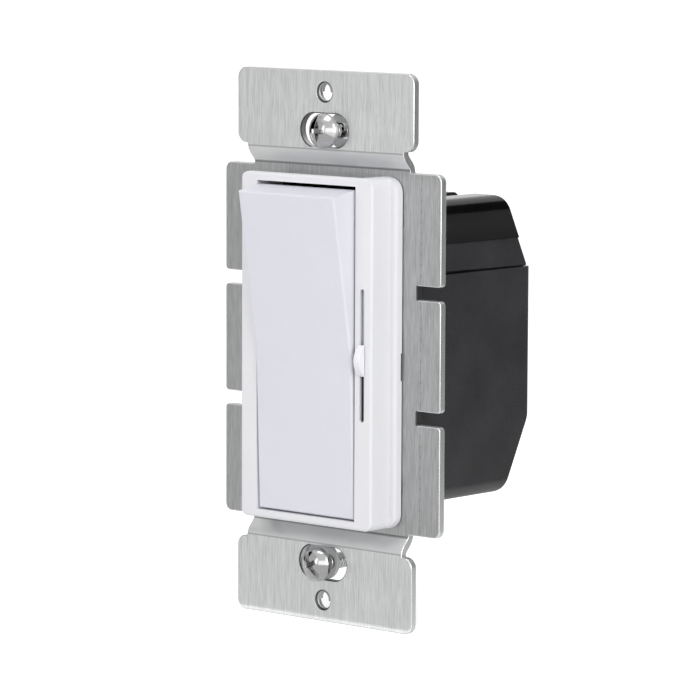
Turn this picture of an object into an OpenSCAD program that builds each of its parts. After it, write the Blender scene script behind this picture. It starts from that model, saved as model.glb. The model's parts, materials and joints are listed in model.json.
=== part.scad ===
// Rocker and slide dimmer for a rectangular wall-plate opening.
// Frame: +X right seen from the front, -Y out of the wall, +Z up.
// The origin is the centre of the back face of the strap's main plate, which is the plane of the wall.

/* [Strap] */
// Thickness of the strap's sheet
strap_t = 1.5; // [1.2:0.1:1.8]
// Height of the strap over both ears
strap_h = 105; // [104:0.5:110]
// Width of the main plate over its break-off fins
plate_w = 54.5; // [52:0.5:60]
// Distance from a wall-box screw's centre to the edge of the main plate
plate_room = 7.2; // [7:0.05:7.9]
// Corner radius of the main plate
plate_r = 1.5; // [0.5:0.1:2]
// Width of an ear
ear_w = 44.4; // [42:0.2:48]
// Corner radius of an ear
ear_r = 2; // [1:0.1:3]
// Width of a neck between an ear and the main plate
neck_w = 39.4; // [34:0.2:40]
// How far the ears stand forward of the main plate
ear_jog = 2; // [1:0.1:2.4]
// Height that the fold of a neck takes up
fold_run = 3.4; // [3:0.1:3.6]
// Width of the slots that part the fins
fin_slot_w = 2.6; // [1.5:0.1:4]
// Distance between the two fin slots of one side
fin_pitch = 23.5; // [18:0.5:28]
// Depth of a fin slot from the plate's edge
fin_depth = 5.8; // [4:0.1:6]
// Corner radius of a fin beside its slot
fin_r = 0.8; // [0.3:0.1:1.5]
// Distance of the score line from the plate's edge
score_inset = 4.8; // [3:0.1:5.2]
// Width of the score line
score_w = 0.4; // [0.2:0.1:0.8]
// Depth of the score line
score_d = 0.08; // [0.06:0.01:0.3]

/* [Fixing holes] */
// Distance between the slots for the screws that hold the strap to the wall box
box_pitch = 82.4; // [82:0.1:84]
// Length of a slot for a wall-box screw
box_slot_l = 11.9; // [9:0.1:14]
// Height of a slot for a wall-box screw
box_slot_w = 6.3; // [5:0.1:6.5]
// Distance between the two tapped holes for the wall plate's screws
plate_pitch = 96.8; // [96:0.1:98]
// Bore of a tapped hole
tap_d = 2.8; // [2.4:0.1:3.2]
// Diameter of the countersink round a tapped hole
sink_d = 4; // [3.4:0.1:5]

/* [Wall-box screws] */
// Diameter of a wall-box screw's thread
screw_d = 3.5; // [3:0.1:4]
// Length of a wall-box screw under its head
screw_l = 20; // [14:1:23]
// Diameter of a wall-box screw's head
head_d = 6.7; // [6:0.1:8]
// Height of a wall-box screw's head
head_h = 2.4; // [1.8:0.1:3]
// Gap between the top screw's head and its ear
top_stand = 1.8; // [0.3:0.1:3]
// Gap between the bottom screw's head and its ear
bottom_stand = 1.7; // [0.3:0.1:3]
// How far the top screw stands right of the middle
top_screw_x = 1.7; // [-3:0.1:3]
// How far the bottom screw stands right of the middle
bottom_screw_x = 0.2; // [-3:0.1:3]
// Length of a retaining washer
washer_l = 10; // [8:0.5:12]
// Height of a retaining washer
washer_h = 6.9; // [6.7:0.1:7]
// How far a retaining washer reaches past its screw's axis at its closed end
washer_end = 2.1; // [1.9:0.1:3]
// Thickness of a retaining washer
washer_t = 0.8; // [0.5:0.1:1.2]
// How much less a screw's neck is in radius than its thread, so that the washer stays on it
neck_cut = 0.35; // [0.25:0.05:0.5]
// Radial gap between a screw and its washer
washer_clear = 0.05; // [0.03:0.01:0.1]

/* [Bezel] */
// Width of the bezel's raised frame
bezel_w = 33.2; // [33:0.1:34]
// Height of the bezel's raised frame
bezel_h = 66.2; // [66:0.1:66.8]
// Height of the bezel above the strap
bezel_d = 7.2; // [6.8:0.1:8]
// Corner radius of the raised frame
bezel_r = 2; // [1.2:0.1:2.2]
// Rounding of the raised frame's front edge
bezel_edge = 0.6; // [0.3:0.1:0.9]
// Width of the collar at the bezel's foot
collar_w = 36; // [35.8:0.1:38]
// Height of the collar at the bezel's foot
collar_h = 66; // [65.8:0.1:67.2]
// Thickness of the collar
collar_t = 2; // [1.5:0.1:2.4]
// Corner radius of the collar
collar_r = 2.8; // [2:0.1:3.4]
// Rounding of the collar's front edge
collar_edge = 0.8; // [0.4:0.1:1]
// Shadow gap between the collar and the strap
collar_gap = 0.2; // [0.1:0.05:0.3]
// Width of the recess behind the rim along the top of the raised frame
rim_w = 26.4; // [20:0.2:26.4]
// Depth of the rim in front of that recess
rim_d = 1.2; // [0.8:0.1:2]
// Height of that recess under the top of the rim
rim_h = 0.8; // [0.4:0.1:0.9]
// Width of the well that takes the paddle
well_w = 24.9; // [24:0.1:25]
// Height of the well that takes the paddle
well_h = 63; // [62.8:0.1:63.2]
// Wall between the well and the hollows beside it
well_wall = 0.95; // [0.8:0.05:1]
// Thickness of the wall over the pocket at the bezel's left
pocket_roof = 1.4; // [1:0.1:2.5]
// Length of the pry notch in the collar's right side
notch_l = 5.2; // [3:0.1:8]
// Height of the pry notch above the strap
notch_h = 0.5; // [0.3:0.1:1]
// Middle of the pry notch
notch_z = -2.4; // [-8:0.1:8]

/* [Rocker] */
// Height of the rocker's pivot above the strap
pivot_h = 2.7; // [2.6:0.05:3]
// Diameter of the rocker's pins
pin_d = 2.4; // [1.8:0.1:2.4]
// Radial gap round a rocker pin
pin_clear = 0.05; // [0.03:0.01:0.1]
// Length of a rocker pin in the bezel's wall
pin_bite = 0.75; // [0.5:0.05:0.85]
// Gap between the paddle and the well's sides
paddle_gap = 0.35; // [0.25:0.05:0.5]
// Height of the paddle's crease above the pivot
crease_h = 5.25; // [5:0.05:5.6]
// Tilt of each half of the paddle from the other's mean
face_tilt = 3.8; // [2:0.1:4.5]
// Length of one half of the paddle
half_l = 30.7; // [30.4:0.1:31]
// Depth of the paddle's end skirts
skirt_d = 6.4; // [5.5:0.1:6.6]
// Wall of the paddle
paddle_wall = 1.4; // [1:0.1:1.8]
// Rounding of the paddle's edges
paddle_edge = 0.5; // [0.2:0.1:0.8]
// Thickness of the ribs inside the paddle
rib_t = 1; // [0.7:0.1:1.4]
// Distance between the ribs inside the paddle
rib_pitch = 5.6; // [5.4:0.1:6]
// Full swing of the rocker in degrees
throw = 11.3; // [8:0.1:11.5]
// Distance from the pivot back to the drive finger's tip
finger_l = 7.2; // [7:0.1:7.6]
// Radius of the drive finger's round tip
finger_r = 1; // [0.8:0.05:1.2]
// Width of the drive finger
finger_w = 4; // [3:0.5:5]
// Gap on each side of the finger's tip in the carriage
finger_clear = 0.15; // [0.1:0.05:0.3]
// How much thinner the finger's shank is than its tip, on each side
finger_waist = 0.25; // [0.2:0.05:0.4]

/* [Slider] */
// Distance of the slider's slot right of the middle
slider_x = 14.2; // [14.1:0.05:14.3]
// Width of the slider's slot
slot_w = 1.1; // [0.9:0.05:1.3]
// Length of the slider's slot
slot_l = 25; // [20:0.5:26]
// Thickness of the wall that the slot is cut through
lip_t = 0.5; // [0.4:0.05:0.8]
// Width of the knob
knob_w = 1.5; // [1.4:0.05:1.8]
// Length of the knob
knob_l = 6; // [5:0.1:8]
// Height of the knob above the bezel
knob_h = 1.5; // [1:0.1:2]
// Place of the knob in the slot, above the middle
knob_z = -0.9; // [-4:0.1:4]
// Gap round the slider where it runs in the bezel
slide_gap = 0.12; // [0.08:0.01:0.16]
// Width of the strip that closes the slot from behind
shield_w = 1.4; // [1.3:0.05:1.5]
// Thickness of the strip that closes the slot from behind
shield_t = 0.8; // [0.6:0.1:1]
// Gap between the strip and the slotted wall
shield_drop = 0.35; // [0.2:0.05:0.5]

/* [Housing] */
// Width of the housing
case_w = 42.6; // [42.4:0.2:43]
// Height of the housing
case_h = 57.2; // [56:0.2:58]
// Depth of the housing behind the strap
case_d = 32.6; // [31:0.1:34]
// Wall of the housing
case_wall = 1.6; // [1.2:0.1:1.8]
// Corner radius of the housing seen from behind
case_r = 2.8; // [1.5:0.1:3.5]
// Distance from the middle to where the rear face would turn into its slopes
slope_z = 12.5; // [10:0.5:14.2]
// How far a slope runs in from the rear face at the top and the bottom
slope_run = 8.1; // [4:0.1:9]
// Rounding between a slope and the top or bottom
slope_r = 1.8; // [1:0.1:4]
// Height of the joint between the two halves
split_z = 14.55; // [14.4:0.05:16]
// Open gap between the two halves at the strap
split_gap = 0.7; // [0.3:0.1:0.9]
// Open gap between the two halves at the rear
split_gap_rear = 0.3; // [0.2:0.1:0.6]
// Height of the recessed band over the joint
band_h = 5.4; // [3:0.1:7]
// Depth of the recessed band
band_d = 0.2; // [0.1:0.1:0.6]
// Width of the groove along the top
groove_w = 5.4; // [3:0.1:8]
// Middle of the groove along the top
groove_x = 11.9; // [-11:0.1:12]
// Depth of the groove along the top
groove_d = 0.8; // [0.4:0.1:1]
// Diameter of the holes for the leads
lead_d = 3.6; // [3:0.1:4]
// Distance between the lead holes
lead_pitch = 9; // [7:0.5:10]
// Distance of a housing screw from the housing's side
fix_inset_x = 5.8; // [5.6:0.1:6.2]
// Distance of a housing screw from the housing's top or bottom
fix_inset_z = 3.6; // [3.4:0.1:3.8]
// Diameter of a housing screw
fix_d = 2.5; // [2:0.1:3]
// Diameter of a housing screw's flat head
fix_head_d = 5; // [4:0.1:5.2]

/* [Electronics] */
// Thickness of the insulating sheet behind the strap
sheet_t = 0.25; // [0.2:0.05:0.4]
// Distance of the circuit board behind the strap
board_y = 9.4; // [9:0.1:10]
// Thickness of the circuit board
board_t = 1.6; // [1.2:0.1:2]
// Gap between the circuit board and the housing's sides
board_gap_x = 0.7; // [0.4:0.1:2]
// Gap between the circuit board and the housing's top and bottom
board_gap_z = 1.6; // [0.5:0.1:3]
// Width of the slide control's case
pot_w = 7.6; // [7:0.1:8]
// Length of the slide control's case
pot_l = 35; // [34:0.5:36]
// Depth of the slide control's case
pot_d = 6.5; // [6:0.1:7]
// Sheet thickness of the slide control's case
pot_wall = 0.4; // [0.3:0.05:0.6]
// Width of the switch base
base_w = 17.6; // [16:0.2:18]
// Height of the switch base
base_h = 25; // [24:0.2:26]
// Wall of the switch base
base_wall = 1.2; // [1:0.1:1.4]
// Gap left between the closed contacts
contact_gap = 0.05; // [0.03:0.01:0.1]
// Radius of the choke's winding
choke_r = 8; // [6:0.1:8.4]
// Length of the choke's winding
choke_l = 13; // [9:0.5:15]

// Size of the film capacitor across, along and behind the board
film_cap = [18, 12.5, 7.5]; // [7:0.5:18]
// Size of the timing capacitor across, along and behind the board
timing_cap = [7.5, 7, 3.3]; // [3:0.1:8]

/* [Hidden] */
$fn = 48;

// A little extra so that a cut runs clear through what it cuts
over = 1;
// Steps in one rounded corner of an outline
arc_steps = 8;
// Gap between pieces that are only stood beside one another
rest_gap = 0.3;
// Radial gap round a shank that is driven into its hole
snug = 0.05;

strap_front = -strap_t;
plate_h = box_pitch - 2 * plate_room;
ear_front = -strap_t - ear_jog;
ear_back = -ear_jog;
// The fold starts and ends a little clear of the plate and the ear
fold_lead = 0.3;
fold_lo = plate_h / 2 + fold_lead;
fold_hi = fold_lo + fold_run;
ear_z0 = fold_hi + fold_lead;
fold_steps = 14;

bezel_front = strap_front - bezel_d;
collar_front = strap_front - collar_t;
roof_back = bezel_front + lip_t;

// The pivot and the turned frame of the rocker
pivot_y = strap_front - pivot_h;
paddle_w = well_w - 2 * paddle_gap;
rest_tilt = throw / 2;
tip_z = finger_l * sin(rest_tilt);
tip_stroke = 2 * tip_z;

// The slider's running channel in the bezel
channel_x0 = well_w / 2 + well_wall;
channel_x1 = slider_x + (slider_x - channel_x0) + 0.35;
travel = slot_l / 2 - knob_l / 2;
shield_l = slot_l + 2 * travel + 0.4;
channel_l = shield_l + 2 * travel + 0.6;
stem_w = slot_w - 2 * slide_gap;
stem_l = 3.2;
knob_lift = 0.1;
shield_front = roof_back + shield_drop;
shield_back = shield_front + shield_t;
foot_l = 5;
foot_d = 3;
// Pad and gussets that the drive finger stands on
pad_l = 10;
pad_t = 1.6;
gusset_x = 1.5;
gusset_t = 0.8;
gusset_h = 3.6;
lever_t = 0.5;
lever_w = 2.2;
// Room round the lever at its slot's sides and ends, and round the drive finger in its window
lever_side_room = 0.55;
lever_end_room = 1.5;
window_side_room = 0.7;
window_end_room = 1.2;

// The bezel's snap legs
leg_w = 2.8;
leg_room = 0.9;
leg_t = 1.1;
leg_x = bezel_w / 2 - 0.1 - leg_t;
hook_out = 0.6;
hook_h = 1.3;

// How far up the slope the lead holes lie, as a share of its height
lead_up = 0.64;
case_in = case_w / 2 - case_wall;
case_top_in = case_h / 2 - case_wall;
fix_x = case_w - 2 * fix_inset_x;
fix_z = case_h - 2 * fix_inset_z;
boss_r = 2.6;
leg_z = fix_z / 2 - boss_r - leg_w / 2 - leg_room;
// Thickness of a boss's web, and of the floor that closes its bore
web_t = 1.6;
boss_floor = 1.2;
rail_w = 1.6;
rail_d = 8;
// The circuit board fills the housing up to its gaps
board_w = 2 * (case_in - board_gap_x);
board_h = 2 * (case_top_in - board_gap_z);
board_back = board_y + board_t;
// Longer than any piece is wide, for cuts and joints that run right through
beyond = 60;
pocket_x = bezel_w / 2 - leg_t - 0.3;

// The triac lies across the strap between the switch and the housing's lower wall
triac_w = 10;
triac_room = 0.9;
triac_z = triac_w / 2 + triac_room - case_top_in;
tab_x0 = -12;
tab_l = 6.6;
tab_t = 1.3;
triac_l = 9;
triac_d = 4.4;
tab_hole = 3.8;
rivet_d = 2.8;
rivet_head_d = 5;
rivet_x = tab_x0 + 3;
lead_t = 0.8;
lead_run = 1.8;

base_back = board_y;
carriage_w = 6.4;
carriage_h = 13;
carriage_y0 = sheet_t + 0.65;
carriage_d = 4.7;
bridge_t = 0.8;
bridge_w = 12.8;
button_r = 1.3;
button_h = 0.5;
bridge_y = 3.2;
fixed_t = 0.8;
leaf_t = 0.25;
leaf_bow = 0.4;
leaf_half = 6;
leaf_w = 1.4;
leaf_foot = 3;
bridge_d = 3;
wiper_w = 4.8;
wiper_l = 5.2;
wiper_t = 0.3;
contact_x = 4.9;
pot_y0 = sheet_t;
pot_y1 = pot_y0 + pot_d;
track_t = 0.8;
// Radius of the slide control's terminal pins, and their distance from its ends and sides
pin_r = 0.45;
pin_inset = 2.2;

// The choke lies in the corner between the board and the housing's lower slope
choke_x = 1;
flange_r = choke_r + 0.8;
flange_t = 1;
core_r = 3;
core_out = 3;
choke_y = board_back + flange_r + 0.1;
slope_out = [case_h / 2 - slope_z, slope_run] / norm([case_h / 2 - slope_z, slope_run]);
choke_z = (flange_r + case_wall + rest_gap - slope_out[0] * (case_d - choke_y)) / slope_out[1] - slope_z;

// Gap between components on the board
part_gap = 2;
// Bodies and leads of the resistors and the diac
resistor_r = 1.2;
resistor_l = 5;
resistor_x = 11;
resistor_pitch = 4;
wire_r = 0.3;
wire_out = 1;
diac_r = 1;
diac_l = 4;

function unit(v) = v / norm(v);
function turn(d) = d > 180 ? d - 360 : d < -180 ? d + 360 : d;
// The arc that rounds the corner b of the path a, b, c
function corner(a, b, c, r) =
    let (u = unit(a - b), w = unit(c - b), half = acos(u * w) / 2, o = b + unit(u + w) * r / sin(half),
        p = b + u * r / tan(half) - o, q = b + w * r / tan(half) - o, a0 = atan2(p[1], p[0]),
        da = turn(atan2(q[1], q[0]) - a0))
    [for (i = [0:arc_steps]) o + r * [cos(a0 + da * i / arc_steps), sin(a0 + da * i / arc_steps)]];
// A closed path whose corners take the given radii
function round_path(pts, radii) =
    let (n = len(pts))
    [for (i = [0:n - 1]) each radii[i] > 0
        ? corner(pts[(i + n - 1) % n], pts[i], pts[(i + 1) % n], radii[i]) : [pts[i]]];
// A point at the share s of a neck's fold, moved out by the distance off
function fold_point(s, off) =
    let (slope = -ear_jog * 90 * PI / 180 * sin(180 * s) / fold_run, n = unit([-1, slope]))
    [-strap_t / 2 - ear_jog * (1 - cos(180 * s)) / 2, fold_lo + s * fold_run] + off * n;

// An outline in X and Z, made solid from y0 to y1
module along_y(y0, y1) {
    translate([0, y1, 0]) rotate([90, 0, 0]) linear_extrude(y1 - y0) children();
}
// An outline in Y and Z, made solid from x0 to x1
module along_x(x0, x1) {
    translate([x0, 0, 0]) rotate([90, 0, 90]) linear_extrude(x1 - x0) children();
}
module rod_x(r, x0, x1, y, z) {
    translate([x0, y, z]) rotate([0, 90, 0]) cylinder(r = r, h = x1 - x0);
}
module rod_y(r, y0, y1, x, z) {
    translate([x, y1, z]) rotate([90, 0, 0]) cylinder(r = r, h = y1 - y0);
}
// A cone along Y, of radius r0 at y0 and r1 at y1
module cone_y(r0, r1, y0, y1, x, z) {
    translate([x, y0, z]) rotate([-90, 0, 0]) cylinder(r1 = r0, r2 = r1, h = y1 - y0);
}
// A block from one corner to the other
module block(lo, hi) {
    translate(lo) cube(hi - lo);
}
module rounded_rect(w, h, r) {
    square([w - 2 * r, h], center = true);
    square([w, h - 2 * r], center = true);
    for (sx = [-1, 1], sz = [-1, 1]) translate([sx * (w / 2 - r), sz * (h / 2 - r)]) circle(r);
}
module stadium(w, h) {
    square([w - h, h], center = true);
    for (s = [-1, 1]) translate([s * (w - h) / 2, 0]) circle(h / 2);
}
module stadium_upright(w, h) {
    rotate(90) stadium(h, w);
}
// The slot that the slider's lever runs in
module lever_slot(y0, y1) {
    translate([slider_x, 0, 0]) along_y(y0, y1) stadium_upright(lever_t + 2 * lever_side_room,
        2 * (travel + lever_end_room) + lever_w);
}
// The window that the drive finger swings in
module finger_window(y0, y1) {
    along_y(y0, y1) rounded_rect(finger_w + 2 * window_side_room, 2 * (finger_r + window_end_room), 0.5);
}
module both_x() {
    children();
    mirror([1, 0, 0]) children();
}
module both_z() {
    children();
    mirror([0, 0, 1]) children();
}
// A plate in X and Z whose front edge is rounded on all four sides
module soft_plate(w, h, r, e, front, back) {
    intersection() {
        along_y(front, back) rounded_rect(w, h, r);
        translate([0, 0, -h / 2]) linear_extrude(h)
            polygon(round_path([[-w / 2, front], [w / 2, front], [w / 2, back + e], [-w / 2, back + e]],
                [e, e, 0, 0]));
        along_x(-w / 2, w / 2)
            polygon(round_path([[front, -h / 2], [front, h / 2], [back + e, h / 2], [back + e, -h / 2]],
                [e, e, 0, 0]));
    }
}

module strap_outline() {
    intersection() {
        rounded_rect(plate_w, plate_h, plate_r);
        union() {
            square([plate_w - 2 * fin_depth, plate_h], center = true);
            square([plate_w - 2 * fin_r, fin_pitch - fin_slot_w], center = true);
            rounded_rect(plate_w, fin_pitch - fin_slot_w, fin_r);
            for (s = [-1, 1]) translate([0, s * (fin_pitch / 2 + fin_slot_w / 2 + plate_h / 2)])
                rounded_rect(plate_w, plate_h, fin_r);
        }
    }
    for (s = [-1, 1]) {
        translate([0, s * (plate_h / 2 + ear_z0) / 2])
            square([neck_w, ear_z0 - plate_h / 2 + 2 * plate_r], center = true);
        translate([0, s * (ear_z0 + strap_h / 2) / 2]) rounded_rect(ear_w, strap_h / 2 - ear_z0, ear_r);
    }
}
module strap_section() {
    front = concat([for (i = [0:fold_steps]) fold_point(i / fold_steps, strap_t / 2)],
        [[ear_front, strap_h / 2 + over]]);
    back = concat([[ear_back, strap_h / 2 + over]],
        [for (i = [fold_steps:-1:0]) fold_point(i / fold_steps, -strap_t / 2)]);
    upper = concat(front, back);
    n = len(upper);
    polygon(concat(upper, [for (i = [n - 1:-1:0]) [upper[i][0], -upper[i][1]]]));
}
module mounting_strap() {
    color("#b4b6b8") difference() {
        intersection() {
            along_y(ear_front - over, over) strap_outline();
            along_x(-plate_w, plate_w) strap_section();
        }
        for (s = [-1, 1]) {
            translate([0, 0, s * box_pitch / 2]) along_y(ear_front - over, over)
                stadium(box_slot_l, box_slot_w);
            sunk_hole(sink_d / 2, tap_d / 2, ear_front, 0, s * plate_pitch / 2);
            // Score line that the outer fins snap off along
            translate([s * (plate_w / 2 - score_inset), 0, 0]) block(
                [-score_w / 2, strap_front - over, -plate_h / 2 - over],
                [score_w / 2, strap_front + score_d, plate_h / 2 + over]);
        }
        finger_window(strap_front - over, over);
        lever_slot(strap_front - over, over);
        both_x() both_z() {
            leg_window();
            sunk_hole(fix_head_d / 2 + 2 * snug, fix_d / 2 + 2 * snug, strap_front, fix_x / 2, fix_z / 2);
        }
        sunk_hole(rivet_head_d / 2 + snug, rivet_d / 2 + snug, strap_front, rivet_x, triac_z);
    }
}
// A hole through the strap, of radius r, with a countersink of radius r_sink at its front face
module sunk_hole(r_sink, r, front, x, z) {
    rod_y(r, front - over, over, x, z);
    cone_y(r_sink, r, front, front + r_sink - r, x, z);
}
module leg_window() {
    block([leg_x - 0.15, strap_front - over, leg_z - leg_w / 2 - 0.2],
        [leg_x + leg_t + hook_out + 0.15, over, leg_z + leg_w / 2 + 0.2]);
}

module snap_leg() {
    z0 = leg_z - leg_w / 2;
    block([leg_x, collar_front, z0], [leg_x + leg_t, hook_h + 0.1, z0 + leg_w]);
    translate([0, 0, z0]) linear_extrude(leg_w)
        polygon([[leg_x + leg_t, 0.05], [leg_x + leg_t + hook_out, 0.05], [leg_x + leg_t, hook_h]]);
}
module bezel() {
    color("#ececf0") difference() {
        union() {
            soft_plate(bezel_w, bezel_h, bezel_r, bezel_edge, bezel_front, strap_front);
            soft_plate(collar_w, collar_h, collar_r, collar_edge, collar_front, strap_front - collar_gap);
            both_x() both_z() snap_leg();
        }
        // Well for the paddle
        block([-well_w / 2, bezel_front - over, -well_h / 2], [well_w / 2, 0, well_h / 2]);
        // Recess behind the rim along the top
        block([-rim_w / 2, bezel_front + rim_d, bezel_h / 2 - rim_h],
            [rim_w / 2, strap_front + over, bezel_h / 2 + over]);
        // Channel that the slider runs in, and its slot
        block([channel_x0, roof_back, -channel_l / 2], [channel_x1, strap_front + over, channel_l / 2]);
        translate([slider_x, 0, 0]) along_y(bezel_front - over, roof_back + over)
            stadium_upright(slot_w, slot_l);
        // Pockets that keep the left wall thin, with ribs left between them
        for (i = [-1.5:1.5]) translate([0, 0, i * bezel_h / 4.4]) block(
            [-pocket_x, bezel_front + pocket_roof, -bezel_h / 9.6],
            [-well_w / 2 - well_wall, strap_front + over, bezel_h / 9.6]);
        // Bores for the rocker's pins
        rod_x(pin_d / 2 + pin_clear, -channel_x0 - 0.2, channel_x0 + 0.2, pivot_y, 0);
        // Pry notch at the foot of the collar
        block([bezel_w / 2 + 0.3, strap_front - notch_h, notch_z - notch_l / 2],
            [collar_w / 2 + over, strap_front + over, notch_z + notch_l / 2]);
    }
}

// Side outline of the housing, drawn in by the distance d, with its upper slope or straight to the top
function case_path(d, sloped) =
    let (y = case_d - d, top = case_h / 2 - d, run = slope_run * (top - slope_z) / (case_h / 2 - slope_z),
        upper = sloped ? [[y, slope_z], [y - run, top]] : [[y, top]])
    round_path(concat([[-over, -top], [y - run, -top], [y, -slope_z]], upper, [[-over, top]]),
        concat([0, slope_r, 1], sloped ? [1, slope_r] : [0], [0]));
module case_solid(d, sloped) {
    intersection() {
        along_x(-case_w / 2 + d, case_w / 2 - d) polygon(case_path(d, sloped));
        along_y(0, case_d) rounded_rect(case_w - 2 * d, case_h - 2 * d, max(case_r - d, 0.5));
        translate([0, 0, -case_h / 2]) linear_extrude(case_h)
            polygon(round_path([[-case_w / 2 + d, -over], [case_w / 2 - d, -over],
                [case_w / 2 - d, case_d - d], [-case_w / 2 + d, case_d - d]], [0, 0, 1.5, 1.5]));
    }
}
module above(z0, z1) {
    intersection() {
        children();
        block([-case_w, -over, z0], [case_w, case_d + over, z1]);
    }
}
// Boss for a housing screw, with a web to the wall beside it
module boss(z) {
    both_x() difference() {
        union() {
            rod_y(boss_r, 0, board_y, fix_x / 2, z);
            block([fix_x / 2, 0, z - web_t / 2], [case_in + snug, board_y, z + web_t / 2]);
        }
        rod_y(fix_d / 2, -over, board_y - boss_floor, fix_x / 2, z);
    }
}
// Rails behind the board, along the side walls
module rails(z0, z1) {
    both_x() block([case_in - rail_w, board_back, z0], [case_in + snug, board_back + rail_d, z1]);
}
module rear_housing() {
    color("#3a3a3c") {
        difference() {
            above(-case_h, split_z) case_solid(0, false);
            case_solid(case_wall, false);
            block([-case_in, -over, -case_top_in], [case_in, case_wall, case_h]);
        }
        boss(-fix_z / 2);
        rails(-fix_z / 2 + 4, split_z - 1);
    }
}
module lead_cover() {
    band_top = split_z + split_gap_rear + band_h;
    slope = atan2(slope_run, case_h / 2 - slope_z);
    lead_y = case_d - slope_run * lead_up;
    lead_z = slope_z + (case_h / 2 - slope_z) * lead_up;
    color("#2a2a2c") {
        difference() {
            union() {
                above(band_top, case_h) case_solid(0, true);
                above(split_z, band_top + 0.01) case_solid(band_d, true);
            }
            case_solid(case_wall, true);
            along_x(-case_w, case_w) polygon([[-over, split_z - over], [-over, split_z + split_gap],
                [0, split_z + split_gap], [case_d, split_z + split_gap_rear], [case_d, split_z - over]]);
            block([-case_in, -over, 0], [case_in, case_wall, case_top_in]);
            block([groove_x - groove_w / 2, -over, case_h / 2 - groove_d],
                [groove_x + groove_w / 2, case_d + over, case_h]);
            // Holes that the leads leave by, square to the upper slope
            for (i = [-1:1]) translate([i * lead_pitch, lead_y, lead_z])
                rotate([-90 + slope, 0, 0]) cylinder(d = lead_d, h = 6 * case_wall, center = true);
        }
        boss(fix_z / 2);
        rails(split_z + split_gap + 1, fix_z / 2 - 4);
    }
}
module housing_screws() {
    head_y = strap_front + 0.1;
    fix_sink = (fix_head_d - fix_d) / 2;
    color("#c8c8c4") both_x() both_z() difference() {
        union() {
            rod_y(fix_d / 2 - snug, head_y, board_y - boss_floor - rest_gap, fix_x / 2, fix_z / 2);
            cone_y(fix_head_d / 2, fix_d / 2 - snug, head_y, head_y + fix_sink, fix_x / 2, fix_z / 2);
        }
        for (a = [0, 90]) translate([fix_x / 2, strap_front, fix_z / 2]) rotate([0, a, 0])
            cube([fix_head_d * 0.6, 1.2, 0.6], center = true);
    }
}

module insulating_sheet() {
    color("#5c6b58") difference() {
        along_y(0, sheet_t) square([2 * case_in - 0.6, 2 * case_top_in - 0.6], center = true);
        finger_window(-over, over);
        lever_slot(-over, over);
        both_x() both_z() {
            leg_window();
            block([fix_x / 2 - boss_r - 0.2, -over, fix_z / 2 - boss_r - 0.2], [case_w, over, case_h]);
        }
        block([tab_x0 - 0.8, -over, triac_z - triac_w / 2 - 0.8],
            [tab_x0 + tab_l + triac_l + 0.8, over, triac_z + triac_w / 2 + 0.8]);
    }
}
module circuit_board() {
    color("#2f6b3c") difference() {
        block([-board_w / 2, board_y, -board_h / 2], [board_w / 2, board_back, board_h / 2]);
        for (i = [-1:1]) rod_y(lead_d / 2, 0, case_d, i * lead_pitch, board_h / 2 - 4);
    }
}

module power_triac() {
    x0 = tab_x0 + tab_l;
    x1 = x0 + triac_l;
    color("#242426") translate([0, 0, triac_z - triac_w / 2]) linear_extrude(triac_w)
        polygon([[x0, sheet_t + tab_t], [x0 + 1.2, sheet_t + triac_d], [x1 - 0.4, sheet_t + triac_d],
            [x1, sheet_t + 2.6], [x1, sheet_t + tab_t]]);
}
module triac_tab() {
    x1 = tab_x0 + tab_l + triac_l;
    color("#b9a58c") {
        difference() {
            block([tab_x0, sheet_t, triac_z - triac_w / 2], [x1, sheet_t + tab_t, triac_z + triac_w / 2]);
            rod_y(tab_hole / 2, -over, sheet_t + tab_t + over, rivet_x, triac_z);
        }
        // Three legs, bent back to the circuit board
        for (i = [-1:1]) translate([0, 0, triac_z + i * 2.54]) {
            block([x1, sheet_t + 1.9, -lead_t / 2], [x1 + lead_run, sheet_t + 2.4, lead_t / 2]);
            block([x1 + lead_run - 0.5, sheet_t + 1.9, -lead_t / 2], [x1 + lead_run, board_y, lead_t / 2]);
        }
    }
}
module triac_insulator() {
    color("#d8d8d8") difference() {
        block([tab_x0 - 0.6, 0, triac_z - triac_w / 2 - 0.6],
            [tab_x0 + tab_l + triac_l + 0.6, sheet_t, triac_z + triac_w / 2 + 0.6]);
        rod_y(rivet_d / 2 + 0.1, -over, over, rivet_x, triac_z);
    }
}
module triac_rivet() {
    back = sheet_t + tab_t;
    head_r = rivet_head_d / 2;
    shank_r = rivet_d / 2;
    color("#c9c9cb") {
        cone_y(head_r, shank_r, strap_front, strap_front + head_r - shank_r, rivet_x, triac_z);
        rod_y(shank_r, strap_front, back, rivet_x, triac_z);
        cone_y(head_r, shank_r, back, back + 0.9, rivet_x, triac_z);
    }
}

module choke_bobbin() {
    color("#e4e0d0") difference() {
        union() {
            rod_x(core_r + 1, choke_x - choke_l / 2, choke_x + choke_l / 2, choke_y, choke_z);
            for (s = [-1, 1]) rod_x(flange_r, choke_x + s * (choke_l + flange_t) / 2 - flange_t / 2,
                choke_x + s * (choke_l + flange_t) / 2 + flange_t / 2, choke_y, choke_z);
        }
        rod_x(core_r + snug, choke_x - case_w, choke_x + case_w, choke_y, choke_z);
    }
}
module choke_core() {
    color("#3b3b3f") rod_x(core_r, choke_x - choke_l / 2 - core_out,
        choke_x + choke_l / 2 + core_out, choke_y, choke_z);
}
module choke_winding() {
    color("#b5703c") translate([choke_x, choke_y, choke_z]) rotate([0, 90, 0]) rotate_extrude()
        difference() {
            translate([core_r + 1, -choke_l / 2]) square([choke_r - core_r - 1, choke_l]);
            // Rows of wire show as scallops round the outside
            for (i = [0:11]) translate([choke_r + 0.35, (i + 0.5 - 6) * choke_l / 12]) circle(0.55, $fn = 16);
        }
}
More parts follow.
